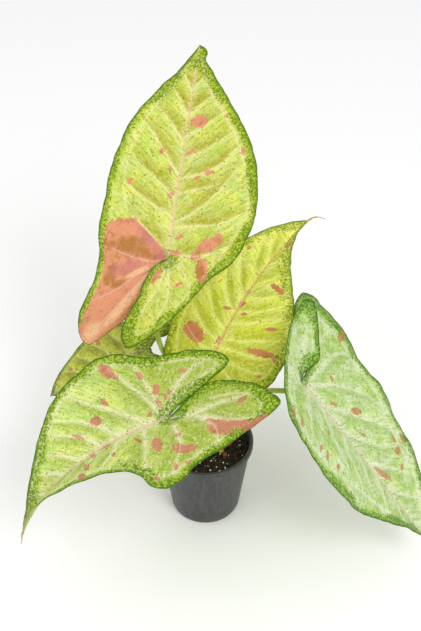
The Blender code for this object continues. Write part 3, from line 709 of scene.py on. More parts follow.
# %% Leaf mesh
LAMINA = 0.00045
RIM_THIN = 0.00028
THIN_REACH = 0.004
RIDGE = 1.6
QUILT = {"top": 0.0009, "rear": 0.0013, "front": 0.0010, "right": 0.0009, "left": 0.0009}
QUILT_REACH = 0.0045
QUILT_FADE = 0.008
CRINKLE = 0.0006
CRINKLE_FADE = 0.012
CRINKLE_WAVES = (0.0042, 0.0071, 0.009)
VEIN_REACH = 0.012
VEIN_FADE = 0.3
# Where the painted shade beside the side veins begins, how far it reaches, and how much stays at a vein's
# ends
TROUGH_SHADE_START = 0.0010
TROUGH_SHADE_REACH = 0.0075
TROUGH_SHADE_ENDS = 0.4
RIM_REACH = 0.007
FIELDS = ("vein", "midrib", "halo", "trough_shade", "rim", "pink", "brown", "rose", "light", "under")


def vein_fields(points, veins):
    """What the veins do at flat points, and how far each point is from a vein."""
    fields = {key: np.zeros(len(points)) for key in ("vein", "midrib", "halo", "trough_shade", "groove")}
    nearest = np.full(len(points), 1.0)
    for kind, line, look in veins:
        boxed = (points > line.min(0) - VEIN_REACH) & (points < line.max(0) + VEIN_REACH)
        close = np.where(boxed.all(1))[0]
        if len(close) == 0:
            continue
        span = points[close, None] - line[None]
        which = np.linalg.norm(span, axis=2).argmin(1)
        span = span[np.arange(len(close)), which]
        away = np.linalg.norm(span, axis=1)
        along = which / (len(line) - 1)
        taper = 1 - VEIN_TAPER * along
        near = np.exp(-(away / (look["width"] * taper)) ** 2)
        soft = np.exp(-(away / (look["halo"] * taper)) ** 2) * taper
        ahead = np.gradient(line, axis=0)[which]
        upper = ahead[:, 0] * span[:, 1] - ahead[:, 1] * span[:, 0] > 0
        # Painted shade, partly a darker olive tone of the blade, in the trough on the upper side of each side
        # vein
        beside = (1 - np.exp(-(away / TROUGH_SHADE_START) ** 2)) * np.exp(-(away / TROUGH_SHADE_REACH) ** 2)
        swell = TROUGH_SHADE_ENDS + (1 - TROUGH_SHADE_ENDS) * np.sin(math.pi * along)
        trough_shade = beside * upper * swell * (kind == "side")
        parts = {
            "vein": near * look["strength"] * (1 - VEIN_FADE * along), "midrib": near * (kind == "midrib"),
            "halo": soft, "trough_shade": trough_shade, "groove": near * look["groove"] * taper}
        for key, part in parts.items():
            fields[key][close] = np.maximum(fields[key][close], part)
        nearest[close] = np.minimum(nearest[close], away)
    return fields, nearest


def make_leaf(name, leaf, seed):
    """One fine leaf blade as a closed mesh, with the attributes that its finish reads."""
    index = {}
    rows = {}
    triangles = []
    strips = []
    for side, hand in (("right", 1), ("left", -1)):
        points, names, half, margin_count, veins = flat_half(name, leaf, side, seed + hand)
        fields, nearest = vein_fields(points, veins)
        margin = points[:margin_count]
        rim = np.concatenate([np.linalg.norm(part[:, None] - margin[None], axis=2).min(1)
                              for part in np.array_split(points, 8)])
        quilt = QUILT[name] * (1 - np.exp(-(nearest / QUILT_REACH) ** 2)) * ease(rim / QUILT_FADE)
        first, second, slant = CRINKLE_WAVES
        wavy = np.sin(points[:, 1] / first + seed) * np.sin(points[:, 1] / second + points[:, 0] / slant)
        fields["rim"] = rim
        fields["quilt"] = quilt + CRINKLE * wavy * (1 - ease(rim / CRINKLE_FADE))
        fields.update(splash_fields(name, leaf["length"], points, hand))
        fields["flat"] = points * [hand, 1]
        fields["place"], fields["up"] = surface(fields["flat"], leaf, hand)
        fresh = [k for k, key in enumerate(names) if key not in index]
        for k in fresh:
            index[names[k]] = len(index)
        for key, field in fields.items():
            rows.setdefault(key, []).append(field[fresh])
        numbers = np.array([index[key] for key in names])
        triangles.append(numbers[half] if hand > 0 else numbers[half][:, ::-1])
        loop = numbers[:margin_count]
        strips.append(loop if hand > 0 else loop[::-1])
    data = {key: np.concatenate(parts) for key, parts in rows.items()}
    count = len(index)
    base = data["place"] + data["up"] * data["quilt"][:, None]
    thick = RIM_THIN + (LAMINA - RIM_THIN) * ease(data["rim"] / THIN_REACH) + data["groove"] * RIDGE
    above = base - data["up"] * data["groove"][:, None]
    below = base - data["up"] * thick[:, None]
    upper = np.vstack(triangles)
    faces = [upper, upper[:, ::-1] + count]
    for loop in strips:
        a = loop[:-1]
        b = loop[1:]
        faces.append(np.stack([b, a, a + count], 1))
        faces.append(np.stack([b, a + count, b + count], 1))
    blade = make_object("leaf_" + name, np.vstack([above, below]), np.vstack(faces))
    add_leaf_attributes(blade.data, data, count)
    return blade


def add_leaf_attributes(mesh, data, count):
    """Store the fields on the points, and the flat leaf as the UV map."""
    values = {key: np.tile(data[key], 2) for key in FIELDS if key in data}
    values["rim"] = values["rim"] / RIM_REACH
    values["under"] = np.repeat([0.0, 1.0], count)
    for key in FIELDS:
        layer = mesh.attributes.new(key, "FLOAT", "POINT")
        layer.data.foreach_set("value", values[key].astype(np.float32))
    corners = np.zeros(len(mesh.loops), np.int32)
    mesh.loops.foreach_get("vertex_index", corners)
    flat = np.vstack([data["flat"], data["flat"]])[corners]
    mesh.uv_layers.new(name="flat leaf").data.foreach_set("uv", flat.astype(np.float32).ravel())


# %% Make the five leaves
leaves = {}
for number, (name, leaf) in enumerate(LEAVES.items()):
    leaves[name] = make_leaf(name, leaf, 10 * number + 3)
    print("leaf", name, "has", len(leaves[name].data.polygons), "triangles")

# %% [markdown]
# ## The leaf finish
# A living leaf: a thin waxy skin over green cells, satin and a little translucent. This cultivar has lost
# some of its green, so the blade is a pale lime, peppered with darker green cells that crowd towards the
# rim, and its veins are cream. The finish is laid on like paint, layer over layer: each layer has a mask, a
# strength and a colour. A mask is a noise, or a field of the mesh, or their sum, which gives a ragged
# border. One function builds the finish and each leaf gives its own colours: the older leaf at the right is
# bluish and frosted, the rear one is a warm yellow.

# %% Leaf palettes
# Each row gives a colour, or how strongly a layer shows, on the top, rear, front, right and left leaf
PALETTE = {
    "pale": ("#dae066", "#ffff70", "#e6f07e", "#c4dc84", "#dee04a"),
    "green": ("#b8d054", "#e4f454", "#b2d45c", "#a0c358", "#b6c226"),
    "rim": ("#9cb400", "#a4b808", "#8cac06", "#7ca622", "#6c8806"),
    "edge": ("#386a00", "#5e7c00", "#306200", "#2e6004", "#305200"),
    # The olive of the painted trough shade, also laid towards the base as painted shade and used for the fine
    # streaks
    "trough_shade": ("#a09a0c", "#acb000", "#8ca012", "#88ac3c", "#747a00"),
    "speck": ("#6c7c10", "#909410", "#5c780e", "#527c26", "#4c5c04"),
    "vein": ("#f0e8bc", "#f8f694", "#eedfcc", "#eae0d2", "#d8d898"),
    "midrib": ("#dfb08c", "#d08a48", "#d6b09c", "#dcb8ac", "#d8cc98"),
    "halo": ("#e0e290", "#ecf086", "#e2e4b0", "#dfe4c4", "#cacf70"),
    "pink": ("#db8d72", "#cc7e5c", "#c88268", "#b8764e", "#b87454"),
    "brown": ("#a46426", "#a8641c", "#94542c", "#946038", "#905828"),
    "mist": ("#d9e8b0", "#fcfec8", "#dfe8bc", "#ecebe0", "#d8dca0"),
    "vein_share": (0.75, 0.70, 0.75, 0.24, 0.60),
    "halo_share": (0.55, 0.80, 0.80, 0.75, 0.60),
    # How strongly the painted shade in the troughs beside the side veins shows
    "trough_shade_share": (1.10, 0.95, 0.85, 0.70, 1.00),
    "band_share": (0.75, 0.35, 0.75, 0.75, 0.60),
    # How much painted shade darkens each blade towards its base
    "base_shade_share": (0.15, 0.85, 0.75, 0.15, 0.20),
    "mist_share": (0.35, 0.55, 0.42, 0.60, 0.10),
    "splash_share": (0.92, 0.92, 0.90, 0.75, 0.80),
    "dry": (0.00, 0.00, 0.75, 0.00, 0.00),
}
LEAF_LOOKS = {name: {key: row[number] for key, row in PALETTE.items()}
              for number, name in enumerate(LEAVES)}


# %% Painting helpers
def new_material(name, roughness):
    """A material with its Principled shader, and the object's own coordinates."""
    made = bpy.data.materials.new(name)
    made.use_nodes = True
    tree = made.node_tree
    shader = tree.nodes["Principled BSDF"]
    shader.inputs["Roughness"].default_value = roughness
    place = add_node(tree, "ShaderNodeTexCoord").outputs["Object"]
    return made, tree, shader, place


def grains(tree, place, millimetres, low, high, extra=0.0):
    """A mask of grains of about one size. It rises from 0 to 1 as noise plus extra goes from low to high."""
    noise = add_node(tree, "ShaderNodeTexNoise", {
        "Vector": place, "Scale": 1000 / millimetres, "Detail": 3.0, "Roughness": 0.65}).outputs["Fac"]
    total = add_node(tree, "ShaderNodeMath", {0: noise, 1: extra}, operation="ADD").outputs[0]
    return add_node(tree, "ShaderNodeMapRange", {"Value": total, "From Min": low, "From Max": high},
                    interpolation_type="SMOOTHSTEP").outputs["Result"]


def painted(tree, colour, layers):
    """Lay colours over a first one. A layer is a mask, how strongly it shows, and its colour."""
    for mask, strength, over in layers:
        share = add_node(tree, "ShaderNodeMath", {0: mask, 1: strength}, operation="MULTIPLY").outputs[0]
        first, second = [linear(c) if isinstance(c, str) else c for c in (colour, over)]
        colour = add_node(tree, "ShaderNodeMix", {0: share, 6: first, 7: second}, data_type="RGBA").outputs[2]
    return colour


def dress(tree, shader, colour, height, strength, depth):
    """Give a shader its colour pattern, and a relief up to a depth in metres."""
    bump = add_node(tree, "ShaderNodeBump", {"Height": height, "Strength": strength, "Distance": depth})
    tree.links.new(colour, shader.inputs["Base Color"])
    tree.links.new(bump.outputs["Normal"], shader.inputs["Normal"])


# %% Leaf material
STREAK_TURN = math.radians(38)
STREAK_STRETCH = 6.0


def splash_colour(tree, place, look, read, specks):
    """Salmon that turns brown in clouds, with lighter veins and the tints of the pink lobe."""
    tint = {kind: grains(tree, place, 6, 0.35, 0.90, read[kind]) for kind in TINT_KINDS}
    return painted(tree, look["pink"], [
        (grains(tree, place, 6, 0.45, 0.75), 0.7, look["brown"]),
        (tint["brown"], 0.80, look["brown"]),
        (tint["rose"], 0.75, "#c07070"),
        (tint["light"], 0.75, "#f2c096"),
        (read["vein"], 0.80, "#f0bfac"),
        (specks, 0.30, look["brown"]),
    ])


def leaf_material(name, look):
    """Waxy living leaf: lime blade, crowding green specks, cream veins and salmon splashes."""
    made, tree, shader, place = new_material("syngonium leaf " + name, 0.46)
    read = {key: add_node(tree, "ShaderNodeAttribute", attribute_name=key).outputs["Fac"] for key in FIELDS}
    flat = add_node(tree, "ShaderNodeUVMap", uv_map="flat leaf").outputs["UV"]
    blade_length = LEAVES[name]["length"]
    # The rim has a green band and a dark edge, both ragged, and its specks crowd. The band is wider in places
    wander = add_node(tree, "ShaderNodeMath", {
        0: grains(tree, place, 34, 0.36, 0.64), 1: 0.75, 2: read["rim"]}, operation="MULTIPLY_ADD").outputs[0]
    band = grains(tree, place, 8, 2.20, 1.45, wander)
    edge = grains(tree, place, 1.5, 0.82, 0.54, read["rim"])
    crowd = add_node(tree, "ShaderNodeMath", {0: band, 1: 0.13}, operation="MULTIPLY").outputs[0]
    specks = grains(tree, place, 1.5, 0.59, 0.64, crowd)
    # The blade darkens with painted shade towards its base, and the apex dries first
    ahead = add_node(tree, "ShaderNodeSeparateXYZ", {0: flat}).outputs["Y"]
    base, apex = [add_node(tree, "ShaderNodeMapRange", {
        "Value": ahead, "From Min": low * blade_length, "From Max": high * blade_length},
        interpolation_type="SMOOTHSTEP").outputs["Result"] for low, high in ((0.5, -0.1), (0.86, 0.93))]
    # Fine streaks run out to the rim beside the side veins, the same on both halves
    sides = add_node(tree, "ShaderNodeVectorMath", {0: flat}, operation="ABSOLUTE").outputs[0]
    streaks = add_node(tree, "ShaderNodeMapping", {
        "Vector": sides, "Rotation": (0, 0, STREAK_TURN), "Scale": (STREAK_STRETCH, 1, 1)},
        vector_type="TEXTURE").outputs["Vector"]
    blade = painted(tree, look["pale"], [
        (grains(tree, place, 12, 0.37, 0.62), 1.0, look["green"]),
        (grains(tree, place, 14, 0.40, 0.70), look["mist_share"], look["mist"]),
        # Painted shade towards the base of the blade
        (base, look["base_shade_share"], look["trough_shade"]),
        # Painted shade, partly a darker olive tone, in the troughs on the upper side of the side veins
        (read["trough_shade"], look["trough_shade_share"], look["trough_shade"]),
        (read["halo"], look["halo_share"], look["halo"]),
        # The blade's own fine striations, in the olive of the painted shade, and paler ones
        (grains(tree, streaks, 2.2, 0.46, 0.66), 0.55, look["trough_shade"]),
        (grains(tree, streaks, 1.7, 0.52, 0.34), 0.26, look["halo"]),
        (band, look["band_share"], look["rim"]),
        (edge, 0.70, look["edge"]),
        (read["vein"], look["vein_share"], look["vein"]),
        (read["midrib"], 0.85, look["midrib"]),
        (specks, 0.75, painted(tree, look["speck"], [(band, 0.9, look["edge"])])),
        # Small flecks of painted highlight: pale on the blade, yellow-green over the rim band
        (grains(tree, place, 1.9, 0.53, 0.63), 0.44,
         painted(tree, look["halo"], [(band, 1.0, look["pale"])])),
        (grains(tree, place, 1.5, 0.63, 0.67), 0.65, look["brown"]),
        (apex, look["dry"], "#c4a05c"),
        (grains(tree, place, 2.4, 0.46, 0.54, read["pink"]), look["splash_share"],
         splash_colour(tree, place, look, read, specks)),
        (grains(tree, place, 1.5, 0.62, 0.52, read["rim"]), 0.60, "#244800"),
    ])
    # The underside is paler and greener, with pale ridges
    beneath = painted(tree, blade, [(1.0, 0.65, "#9cb048"), (read["vein"], 0.6, look["halo"])])
    colour = painted(tree, blade, [(read["under"], 1.0, beneath)])
    # Relief too fine for the mesh: a net of small veins over a grain of cells
    net = add_node(tree, "ShaderNodeTexVoronoi", {"Vector": flat, "Scale": 420.0}, feature="DISTANCE_TO_EDGE")
    ridges = add_node(tree, "ShaderNodeMapRange", {"Value": net.outputs["Distance"], "From Max": 0.12})
    dress(tree, shader, colour, grains(tree, place, 0.9, -0.5, 2.3, ridges.outputs["Result"]), 0.4, 0.0006)
    shader.inputs["Specular IOR Level"].default_value = 0.1
    shader.inputs["Subsurface Weight"].default_value = 0.10
    shader.inputs["Subsurface Radius"].default_value = (0.6, 1.0, 0.3)
    shader.inputs["Subsurface Scale"].default_value = 0.0015
    return made


for name, blade in leaves.items():
    blade.data.materials.append(leaf_material(name, LEAF_LOOKS[name]))
print("leaf finishes:", len(LEAF_LOOKS))

# %% [markdown]
# ## Leaf stalks
# A petiole is a fleshy stalk, round with a shallow channel on its upper side, and broad at the foot, where
# it sheathes the stem. It follows a path, so Geometry Nodes sweep a channelled circle along it, with its
# sizes as named inputs. The result is made a plain mesh, because a live node tree would not survive the
# export.

# %% Stalk routes
STALK_POINTS = 90
HOLE_FLOOR = 0.0343
UPRIGHT = (0.050, 0.063)
SINK = 0.0005
# A route is the place of the stalk's hole in the soil, then the places it passes on its way to the blade
ROUTES = {
    "top": ((-.0028, .0070), [(-.0145, .021, .104), (-.035, .0285, .147), (-.037, .042, .178),
                              (-.027, .055, .203)]),
    "rear": ((.0047, .0060), [(.009, .008, .098), (.012, .012, .122), (.0085, .017, .135)]),
    "front": ((-.0038, -.0066), [(-.008, -.018, .104), (-.018, -.040, .134), (-.025, -.055, .144)]),
    "right": ((.0071, -.0026), [(.014, -.010, .098), (.026, -.020, .125), (.043, -.024, .1445),
                                (.061, -.0235, .1455)]),
    "left": ((-.0074, .0016), [(-.017, .008, .098), (-.034, .021, .121), (-.0435, .0285, .130)]),
}


def stalk_path(name):
    """Points from the soil hole's floor to just inside the blade, over the junction."""
    base, places = ROUTES[name]
    leaf = LEAVES[name]
    up = facing(leaf)[:, 2]
    end = np.array(leaf["at"]) - up * SINK
    start = [(*base, height) for height in (HOLE_FLOOR, *UPRIGHT)]
    return smooth_path(start + places + [tuple(end)], STALK_POINTS)


# %% Sweep tree for the stalks
def group_with(name, sizes):
    """An empty Geometry Nodes tree with a geometry in and out and named number inputs."""
    tree = bpy.data.node_groups.new(name, "GeometryNodeTree")
    tree.interface.new_socket("Geometry", in_out="INPUT", socket_type="NodeSocketGeometry")
    for label, kind in sizes:
        tree.interface.new_socket(label, in_out="INPUT", socket_type=kind)
    tree.interface.new_socket("Geometry", in_out="OUTPUT", socket_type="NodeSocketGeometry")
    return tree, tree.nodes.new("NodeGroupInput").outputs


def end_tree(tree, geometry, material, smooth):
    """Realize the instances, shade them, set the material and give the result out."""
    real = add_node(tree, "GeometryNodeRealizeInstances", {"Geometry": geometry})
    shaded = add_node(tree, "GeometryNodeSetShadeSmooth", {
        "Geometry": real.outputs[0], "Shade Smooth": smooth})
    skinned = add_node(tree, "GeometryNodeSetMaterial", {"Geometry": shaded.outputs[0], "Material": material})
    add_node(tree, "NodeGroupOutput", {"Geometry": skinned.outputs[0]})


def baked(host, tree, values, name):
    """Run a tree on a host with the given input values, and return the result as a plain mesh object."""
    step = host.modifiers.new("nodes", "NODES")
    step.node_group = tree
    for item in tree.interface.items_tree:
        if item.item_type == "SOCKET" and item.in_out == "INPUT" and item.name in values:
            step[item.identifier] = values[item.name]
    host.update_tag()
    graph = bpy.context.evaluated_depsgraph_get()
    mesh = bpy.data.meshes.new_from_object(host.evaluated_get(graph))
    host.modifiers.remove(step)
    bpy.data.objects.remove(host)
    mesh.name = name
    return put_in_scene(name, mesh)


def stalk_tree():
    """Sweep a channelled circle along a line of edges, thick at the foot."""
    number = "NodeSocketFloat"
    sizes = [(label, number) for label in ("Foot radius", "Tip radius", "Sheath share", "Channel")]
    tree, given = group_with("leaf stalk", sizes + [("Material", "NodeSocketMaterial")])
    line = add_node(tree, "GeometryNodeMeshToCurve", {"Mesh": given["Geometry"]})
    along = add_node(tree, "GeometryNodeSplineParameter").outputs["Factor"]
    radius = add_node(tree, "ShaderNodeMapRange", {
        "Value": along, "From Max": given["Sheath share"], "To Min": given["Foot radius"],
        "To Max": given["Tip radius"]}, interpolation_type="SMOOTHSTEP")
    circle = add_node(tree, "GeometryNodeCurvePrimitiveCircle", {"Resolution": 24, "Radius": 1.0})
    # The channel: the upper side of the circle sinks, most in its middle
    place = add_node(tree, "GeometryNodeInputPosition").outputs[0]
    high = add_node(tree, "ShaderNodeSeparateXYZ", {0: place}).outputs["Y"]
    upper = add_node(tree, "ShaderNodeMath", {0: high, 1: 0.0}, operation="MAXIMUM").outputs[0]
    middle = add_node(tree, "ShaderNodeMath", {0: upper, 1: 6.0}, operation="POWER").outputs[0]
    dent = add_node(tree, "ShaderNodeMath", {0: middle, 1: given["Channel"]}, operation="MULTIPLY").outputs[0]
    down = add_node(tree, "ShaderNodeVectorMath", {0: (0.0, -1.0, 0.0), "Scale": dent}, operation="SCALE")
    profile = add_node(tree, "GeometryNodeSetPosition", {
        "Geometry": circle.outputs[0], "Offset": down.outputs[0]})
    body = add_node(tree, "GeometryNodeCurveToMesh", {
        "Curve": line.outputs[0], "Profile Curve": profile.outputs[0], "Scale": radius.outputs[0],
        "Fill Caps": True})
    end_tree(tree, body.outputs[0], given["Material"], True)
    return tree


# %% Stalk material
def stalk_material():
    """Smooth living stalk: a waxy olive-green skin with fine pale streaks and a paler foot."""
    made, tree, shader, place = new_material("living petiole", 0.38)
    height = add_node(tree, "ShaderNodeSeparateXYZ", {0: place}).outputs["Z"]
    foot = add_node(tree, "ShaderNodeMapRange", {"Value": height, "From Min": 0.085, "From Max": 0.062})
    colour = painted(tree, "#8d9f2c", [
        (grains(tree, place, 3, 0.35, 0.7), 1.0, "#a8b848"),
        (foot.outputs["Result"], 0.55, "#c0b070"),
        (grains(tree, place, 0.9, 0.62, 0.68), 0.35, "#5d7418"),
    ])
    dress(tree, shader, colour, grains(tree, place, 1.2, 0.0, 1.0), 0.2, 0.0003)
    shader.inputs["Subsurface Weight"].default_value = 0.1
    shader.inputs["Subsurface Scale"].default_value = 0.002
    return made


# %% Make the stalks
def line_host(points):
    """A temporary object whose mesh is a chain of edges."""
    return make_object("line", points, edges=[(k, k + 1) for k in range(len(points) - 1)])


sweep = stalk_tree()
stalk_skin = stalk_material()
stalk_sizes = {"Foot radius": 0.0029, "Tip radius": 0.0020, "Sheath share": 0.45, "Channel": 0.35,
               "Material": stalk_skin}
stalks = {}
for name in ROUTES:
    stalks[name] = baked(line_host(stalk_path(name)), sweep, stalk_sizes, "stalk_" + name)
print("stalk faces:", sum(len(stalk.data.polygons) for stalk in stalks.values()))

# %% Drip tips
# Each route starts just inside the apex, at a share of the blade's length, and lists its steps from the apex
TIP_POINTS = 24
TIP_START = 0.975
TIP_ROUTES = {
    "rear": [(.004, .001, .002), (.009, .002, .0015), (.0135, .002, -.0005)],
    "front": [(-.0005, 0, -.004), (-.0015, 0, -.010)],
}


def tip_path(name):
    """Points along a drip tip, from inside the blade's apex."""
    leaf = LEAVES[name]
    inner, apex = surface(np.array([[0, TIP_START], [0, 1.0]]) * leaf["length"], leaf, 1)[0]
    return smooth_path([inner, apex] + [apex + step for step in TIP_ROUTES[name]], TIP_POINTS)


def tip_material():
    """The dried drip tip: the leaf's olive turned tan."""
    made, tree, shader, place = new_material("drying leaf tip", 0.5)
    colour = painted(tree, "#a8a034", [(grains(tree, place, 2, 0.4, 0.6), 1.0, "#c8b46c")])
    dress(tree, shader, colour, grains(tree, place, 0.8, 0.0, 1.0), 0.2, 0.0002)
    return made


tip_sizes = {"Foot radius": 0.0009, "Tip radius": 0.0003, "Sheath share": 1.0, "Channel": 0.3,
             "Material": tip_material()}
tips = [baked(line_host(tip_path(name)), sweep, tip_sizes, "drip_tip_" + name) for name in TIP_ROUTES]
print("drip tips:", len(tips))

# %% [markdown]
# ## Stem
# The short main stem stands between the stalks. It is a turned green shoot with the raised ring scars of
# fallen leaves, and it ends in the blunt bud of the next leaf.

# %% Turned shapes
def turned(name, profile, sides):
    """A closed body turned about Z from a profile of radius and height, with flat faces at its two ends."""
    points = [point for radius, height in profile for point in ring(radius, height, sides)]
    last = len(points) - sides
    faces = [tuple(range(sides))[::-1]]
    for low in range(0, last, sides):
        faces += join_rings(low, low + sides, sides, rising=True)
    faces.append(tuple(range(last, len(points))))
    thing = make_object(name, points, faces)
    thing.data.set_sharp_from_angle(angle=math.radians(50))
    return thing


STEM_RADIUS = 0.0034
STEM_SLIM = 0.92
SCAR_HEIGHTS = (0.068, 0.077)
SCAR_REACH = 0.0009
BUD_HEIGHT = 0.004
STEM_BEVEL = 0.0005


def stem_profile():
    """Radius and height of the stem's rings: a flat foot, scars that swell it, and a blunt bud."""
    low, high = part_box("stem")
    bud = high.z - BUD_HEIGHT
    profile = [(STEM_RADIUS * 0.5, low.z), (STEM_RADIUS * STEM_SLIM, low.z + STEM_BEVEL)]
    for height in np.linspace(low.z + 2 * STEM_BEVEL, bud, 50):
        scar = sum(math.exp(-((height - middle) / SCAR_REACH) ** 2) for middle in SCAR_HEIGHTS)
        profile.append((STEM_RADIUS * (STEM_SLIM + (1 - STEM_SLIM) * min(1.0, scar)), height))
    for angle in [math.pi / 2 * k / 8 for k in range(1, 8)]:
        profile.append((STEM_RADIUS * STEM_SLIM * math.cos(angle), bud + BUD_HEIGHT * math.sin(angle)))
    return profile


stem = turned("shoot", stem_profile(), 32)
stem.data.materials.append(stalk_skin)
print("stem faces:", len(stem.data.polygons))

# %% [markdown]
# ## Pot
# A thin nursery pot, injection moulded in dark grey polypropylene. It tapers, has a small lip turned out at
# the rim and six drain holes round its base. The mould leaves a satin skin with faint flow streaks, and use
# leaves dust.

# %% Pot shape
POT_HEIGHT = 0.070
RIM_RADIUS = 0.0375
BASE_RADIUS = 0.0270
WALL = 0.0014
BASE_CORNER = 0.0025
LIP_HEIGHT = 0.0050
LIP_OUT = 0.0012
LIP_SOFT = 0.0006
FOOT_RADIUS = 0.010
FOOT_STEP = 0.0008
FOOT_BEVEL = 0.0005
CENTRE = 0.004
WALL_RINGS = 12
POT_SIDES = 144
DRAIN_HOLES = 6
DRAIN_RADIUS = 0.0032
DRAIN_CIRCLE = 0.0195


def wall_radius(height):
    """Outer radius of the tapered wall."""
    return BASE_RADIUS + (RIM_RADIUS - LIP_OUT - BASE_RADIUS) * height / POT_HEIGHT


def rounded(centre, radius, start, stop, count=5):
    """Points of a rounded corner between two angles in degrees."""
    angles = np.radians(np.linspace(start, stop, count))
    return [(centre[0] + radius * math.cos(a), centre[1] + radius * math.sin(a)) for a in angles]


def make_pot():
    """The turned pot with its drain holes cut."""
    lip_foot = POT_HEIGHT - LIP_HEIGHT
    soft = LIP_SOFT
    inner = RIM_RADIUS - LIP_OUT - WALL
    profile = [(CENTRE, FOOT_STEP), (FOOT_RADIUS, FOOT_STEP), (FOOT_RADIUS + FOOT_BEVEL, 0.0)]
    profile += rounded((BASE_RADIUS - BASE_CORNER, BASE_CORNER), BASE_CORNER, -90, -8, 7)
    profile += [(wall_radius(z), z) for z in np.linspace(BASE_CORNER + 0.001, lip_foot - 0.0004, WALL_RINGS)]
    profile += rounded((RIM_RADIUS - soft, lip_foot + soft), soft, -70, 0)
    profile += rounded((RIM_RADIUS - soft, POT_HEIGHT - soft), soft, 0, 90)
    profile += rounded((inner + soft, POT_HEIGHT - soft), soft, 90, 180)
    inside_heights = np.linspace(POT_HEIGHT - 0.004, BASE_CORNER + WALL, WALL_RINGS)
    profile += [(wall_radius(z) - WALL, z) for z in inside_heights]
    profile += [(BASE_RADIUS - BASE_CORNER, WALL), (CENTRE, WALL)]
    pot = turned("nursery_pot", profile, POT_SIDES)
    cutters = []
    for k in range(DRAIN_HOLES):
        angle = 2 * math.pi * (k + 0.5) / DRAIN_HOLES
        at = (DRAIN_CIRCLE * math.cos(angle), DRAIN_CIRCLE * math.sin(angle), 0)
        bpy.ops.mesh.primitive_cylinder_add(vertices=28, radius=DRAIN_RADIUS, depth=0.01, location=at)
        cutters.append(bpy.context.object)
    for cutter in cutters:
        cut = pot.modifiers.new("drain", "BOOLEAN")
        cut.object = cutter
        cut.solver = "EXACT"
    graph = bpy.context.evaluated_depsgraph_get()
    mesh = bpy.data.meshes.new_from_object(pot.evaluated_get(graph))
    pot.modifiers.clear()
    pot.data = mesh
    for cutter in cutters:
        bpy.data.objects.remove(cutter)
    return pot


def pot_material():
    """Injection-moulded polypropylene: satin dark grey, faint streaks up the wall and a little dust."""
    made, tree, shader, place = new_material("moulded polypropylene", 0.42)
    stretched = add_node(tree, "ShaderNodeMapping", {"Vector": place, "Scale": (1.0, 1.0, 0.15)}).outputs[0]
    colour = painted(tree, "#343536", [
        (grains(tree, stretched, 2.5, 0.35, 0.7), 1.0, "#434445"),
        (grains(tree, place, 5, 0.5, 0.75), 0.25, "#736d62"),
    ])
    dress(tree, shader, colour, grains(tree, place, 0.8, 0.0, 1.0), 0.15, 0.0002)
    return made


pot = make_pot()
pot.data.materials.clear()
pot.data.materials.append(pot_material())
print("pot faces:", len(pot.data.polygons))

# %% [markdown]
# ## Potting soil
# Moist peat and bark, nearly black, with white perlite and a few round feed prills. The bed is one lumpy
# body that fills the pot. Crumbs and perlite repeat, so Geometry Nodes scatter them: points spread over the
# surface, a small rock on each, turned and sized at random from a fixed seed.

# %% Soil bed
SOIL_TOP = 0.0620
SOIL_LUMP = 0.0012
SOIL_MOUND = 0.0020
SOIL_CORNER = 0.006
EDGE_GAP = 0.0004
CORNER_GAP = 0.0006
BOTTOM_GAP = 0.0005
BED_RINGS = 34
BED_SIDES = 96


def soil_height(x, y):
    """Lumpy height of the soil, highest round the stem."""
    away = math.hypot(x, y) / RIM_RADIUS
    lumps = math.sin(x * 620 + 1.3) * math.sin(y * 540 + 0.4) + 0.6 * math.sin(x * 1130 + y * 860)
    return SOIL_TOP + SOIL_MOUND * max(0.0, 1 - away * 1.4) ** 2 + SOIL_LUMP * 0.6 * lumps


def soil_patch(radius, rings, sides):
    """The top of the soil as a disc of rings."""
    points = [(0, 0, soil_height(0, 0))]
    for number in range(1, rings + 1):
        points += [(x, y, soil_height(x, y)) for x, y, _ in ring(radius * number / rings, 0, sides)]
    faces = [(0, 1 + k, 1 + (k + 1) % sides) for k in range(sides)]
    for number in range(rings - 1):
        low = 1 + number * sides
        faces += join_rings(low, low + sides, sides, rising=False)
    return points, faces


def make_soil():
    """The soil bed: its lumpy top, a side that follows the pot's wall, and a flat bottom."""
    sides = BED_SIDES
    edge = wall_radius(SOIL_TOP) - WALL - EDGE_GAP
    points, faces = soil_patch(edge, BED_RINGS, sides)
    low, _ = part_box("soil")
    corner = (wall_radius(SOIL_CORNER) - WALL - CORNER_GAP, SOIL_CORNER)
    bottom = (BASE_RADIUS - BASE_CORNER - BOTTOM_GAP, low.z)
    for radius, height in (corner, bottom):
        points += ring(radius, height, sides)
        faces += join_rings(len(points) - 2 * sides, len(points) - sides, sides, rising=False)
    faces.append(tuple(range(len(points) - sides, len(points)))[::-1])
    return make_object("soil_bed", points, faces)


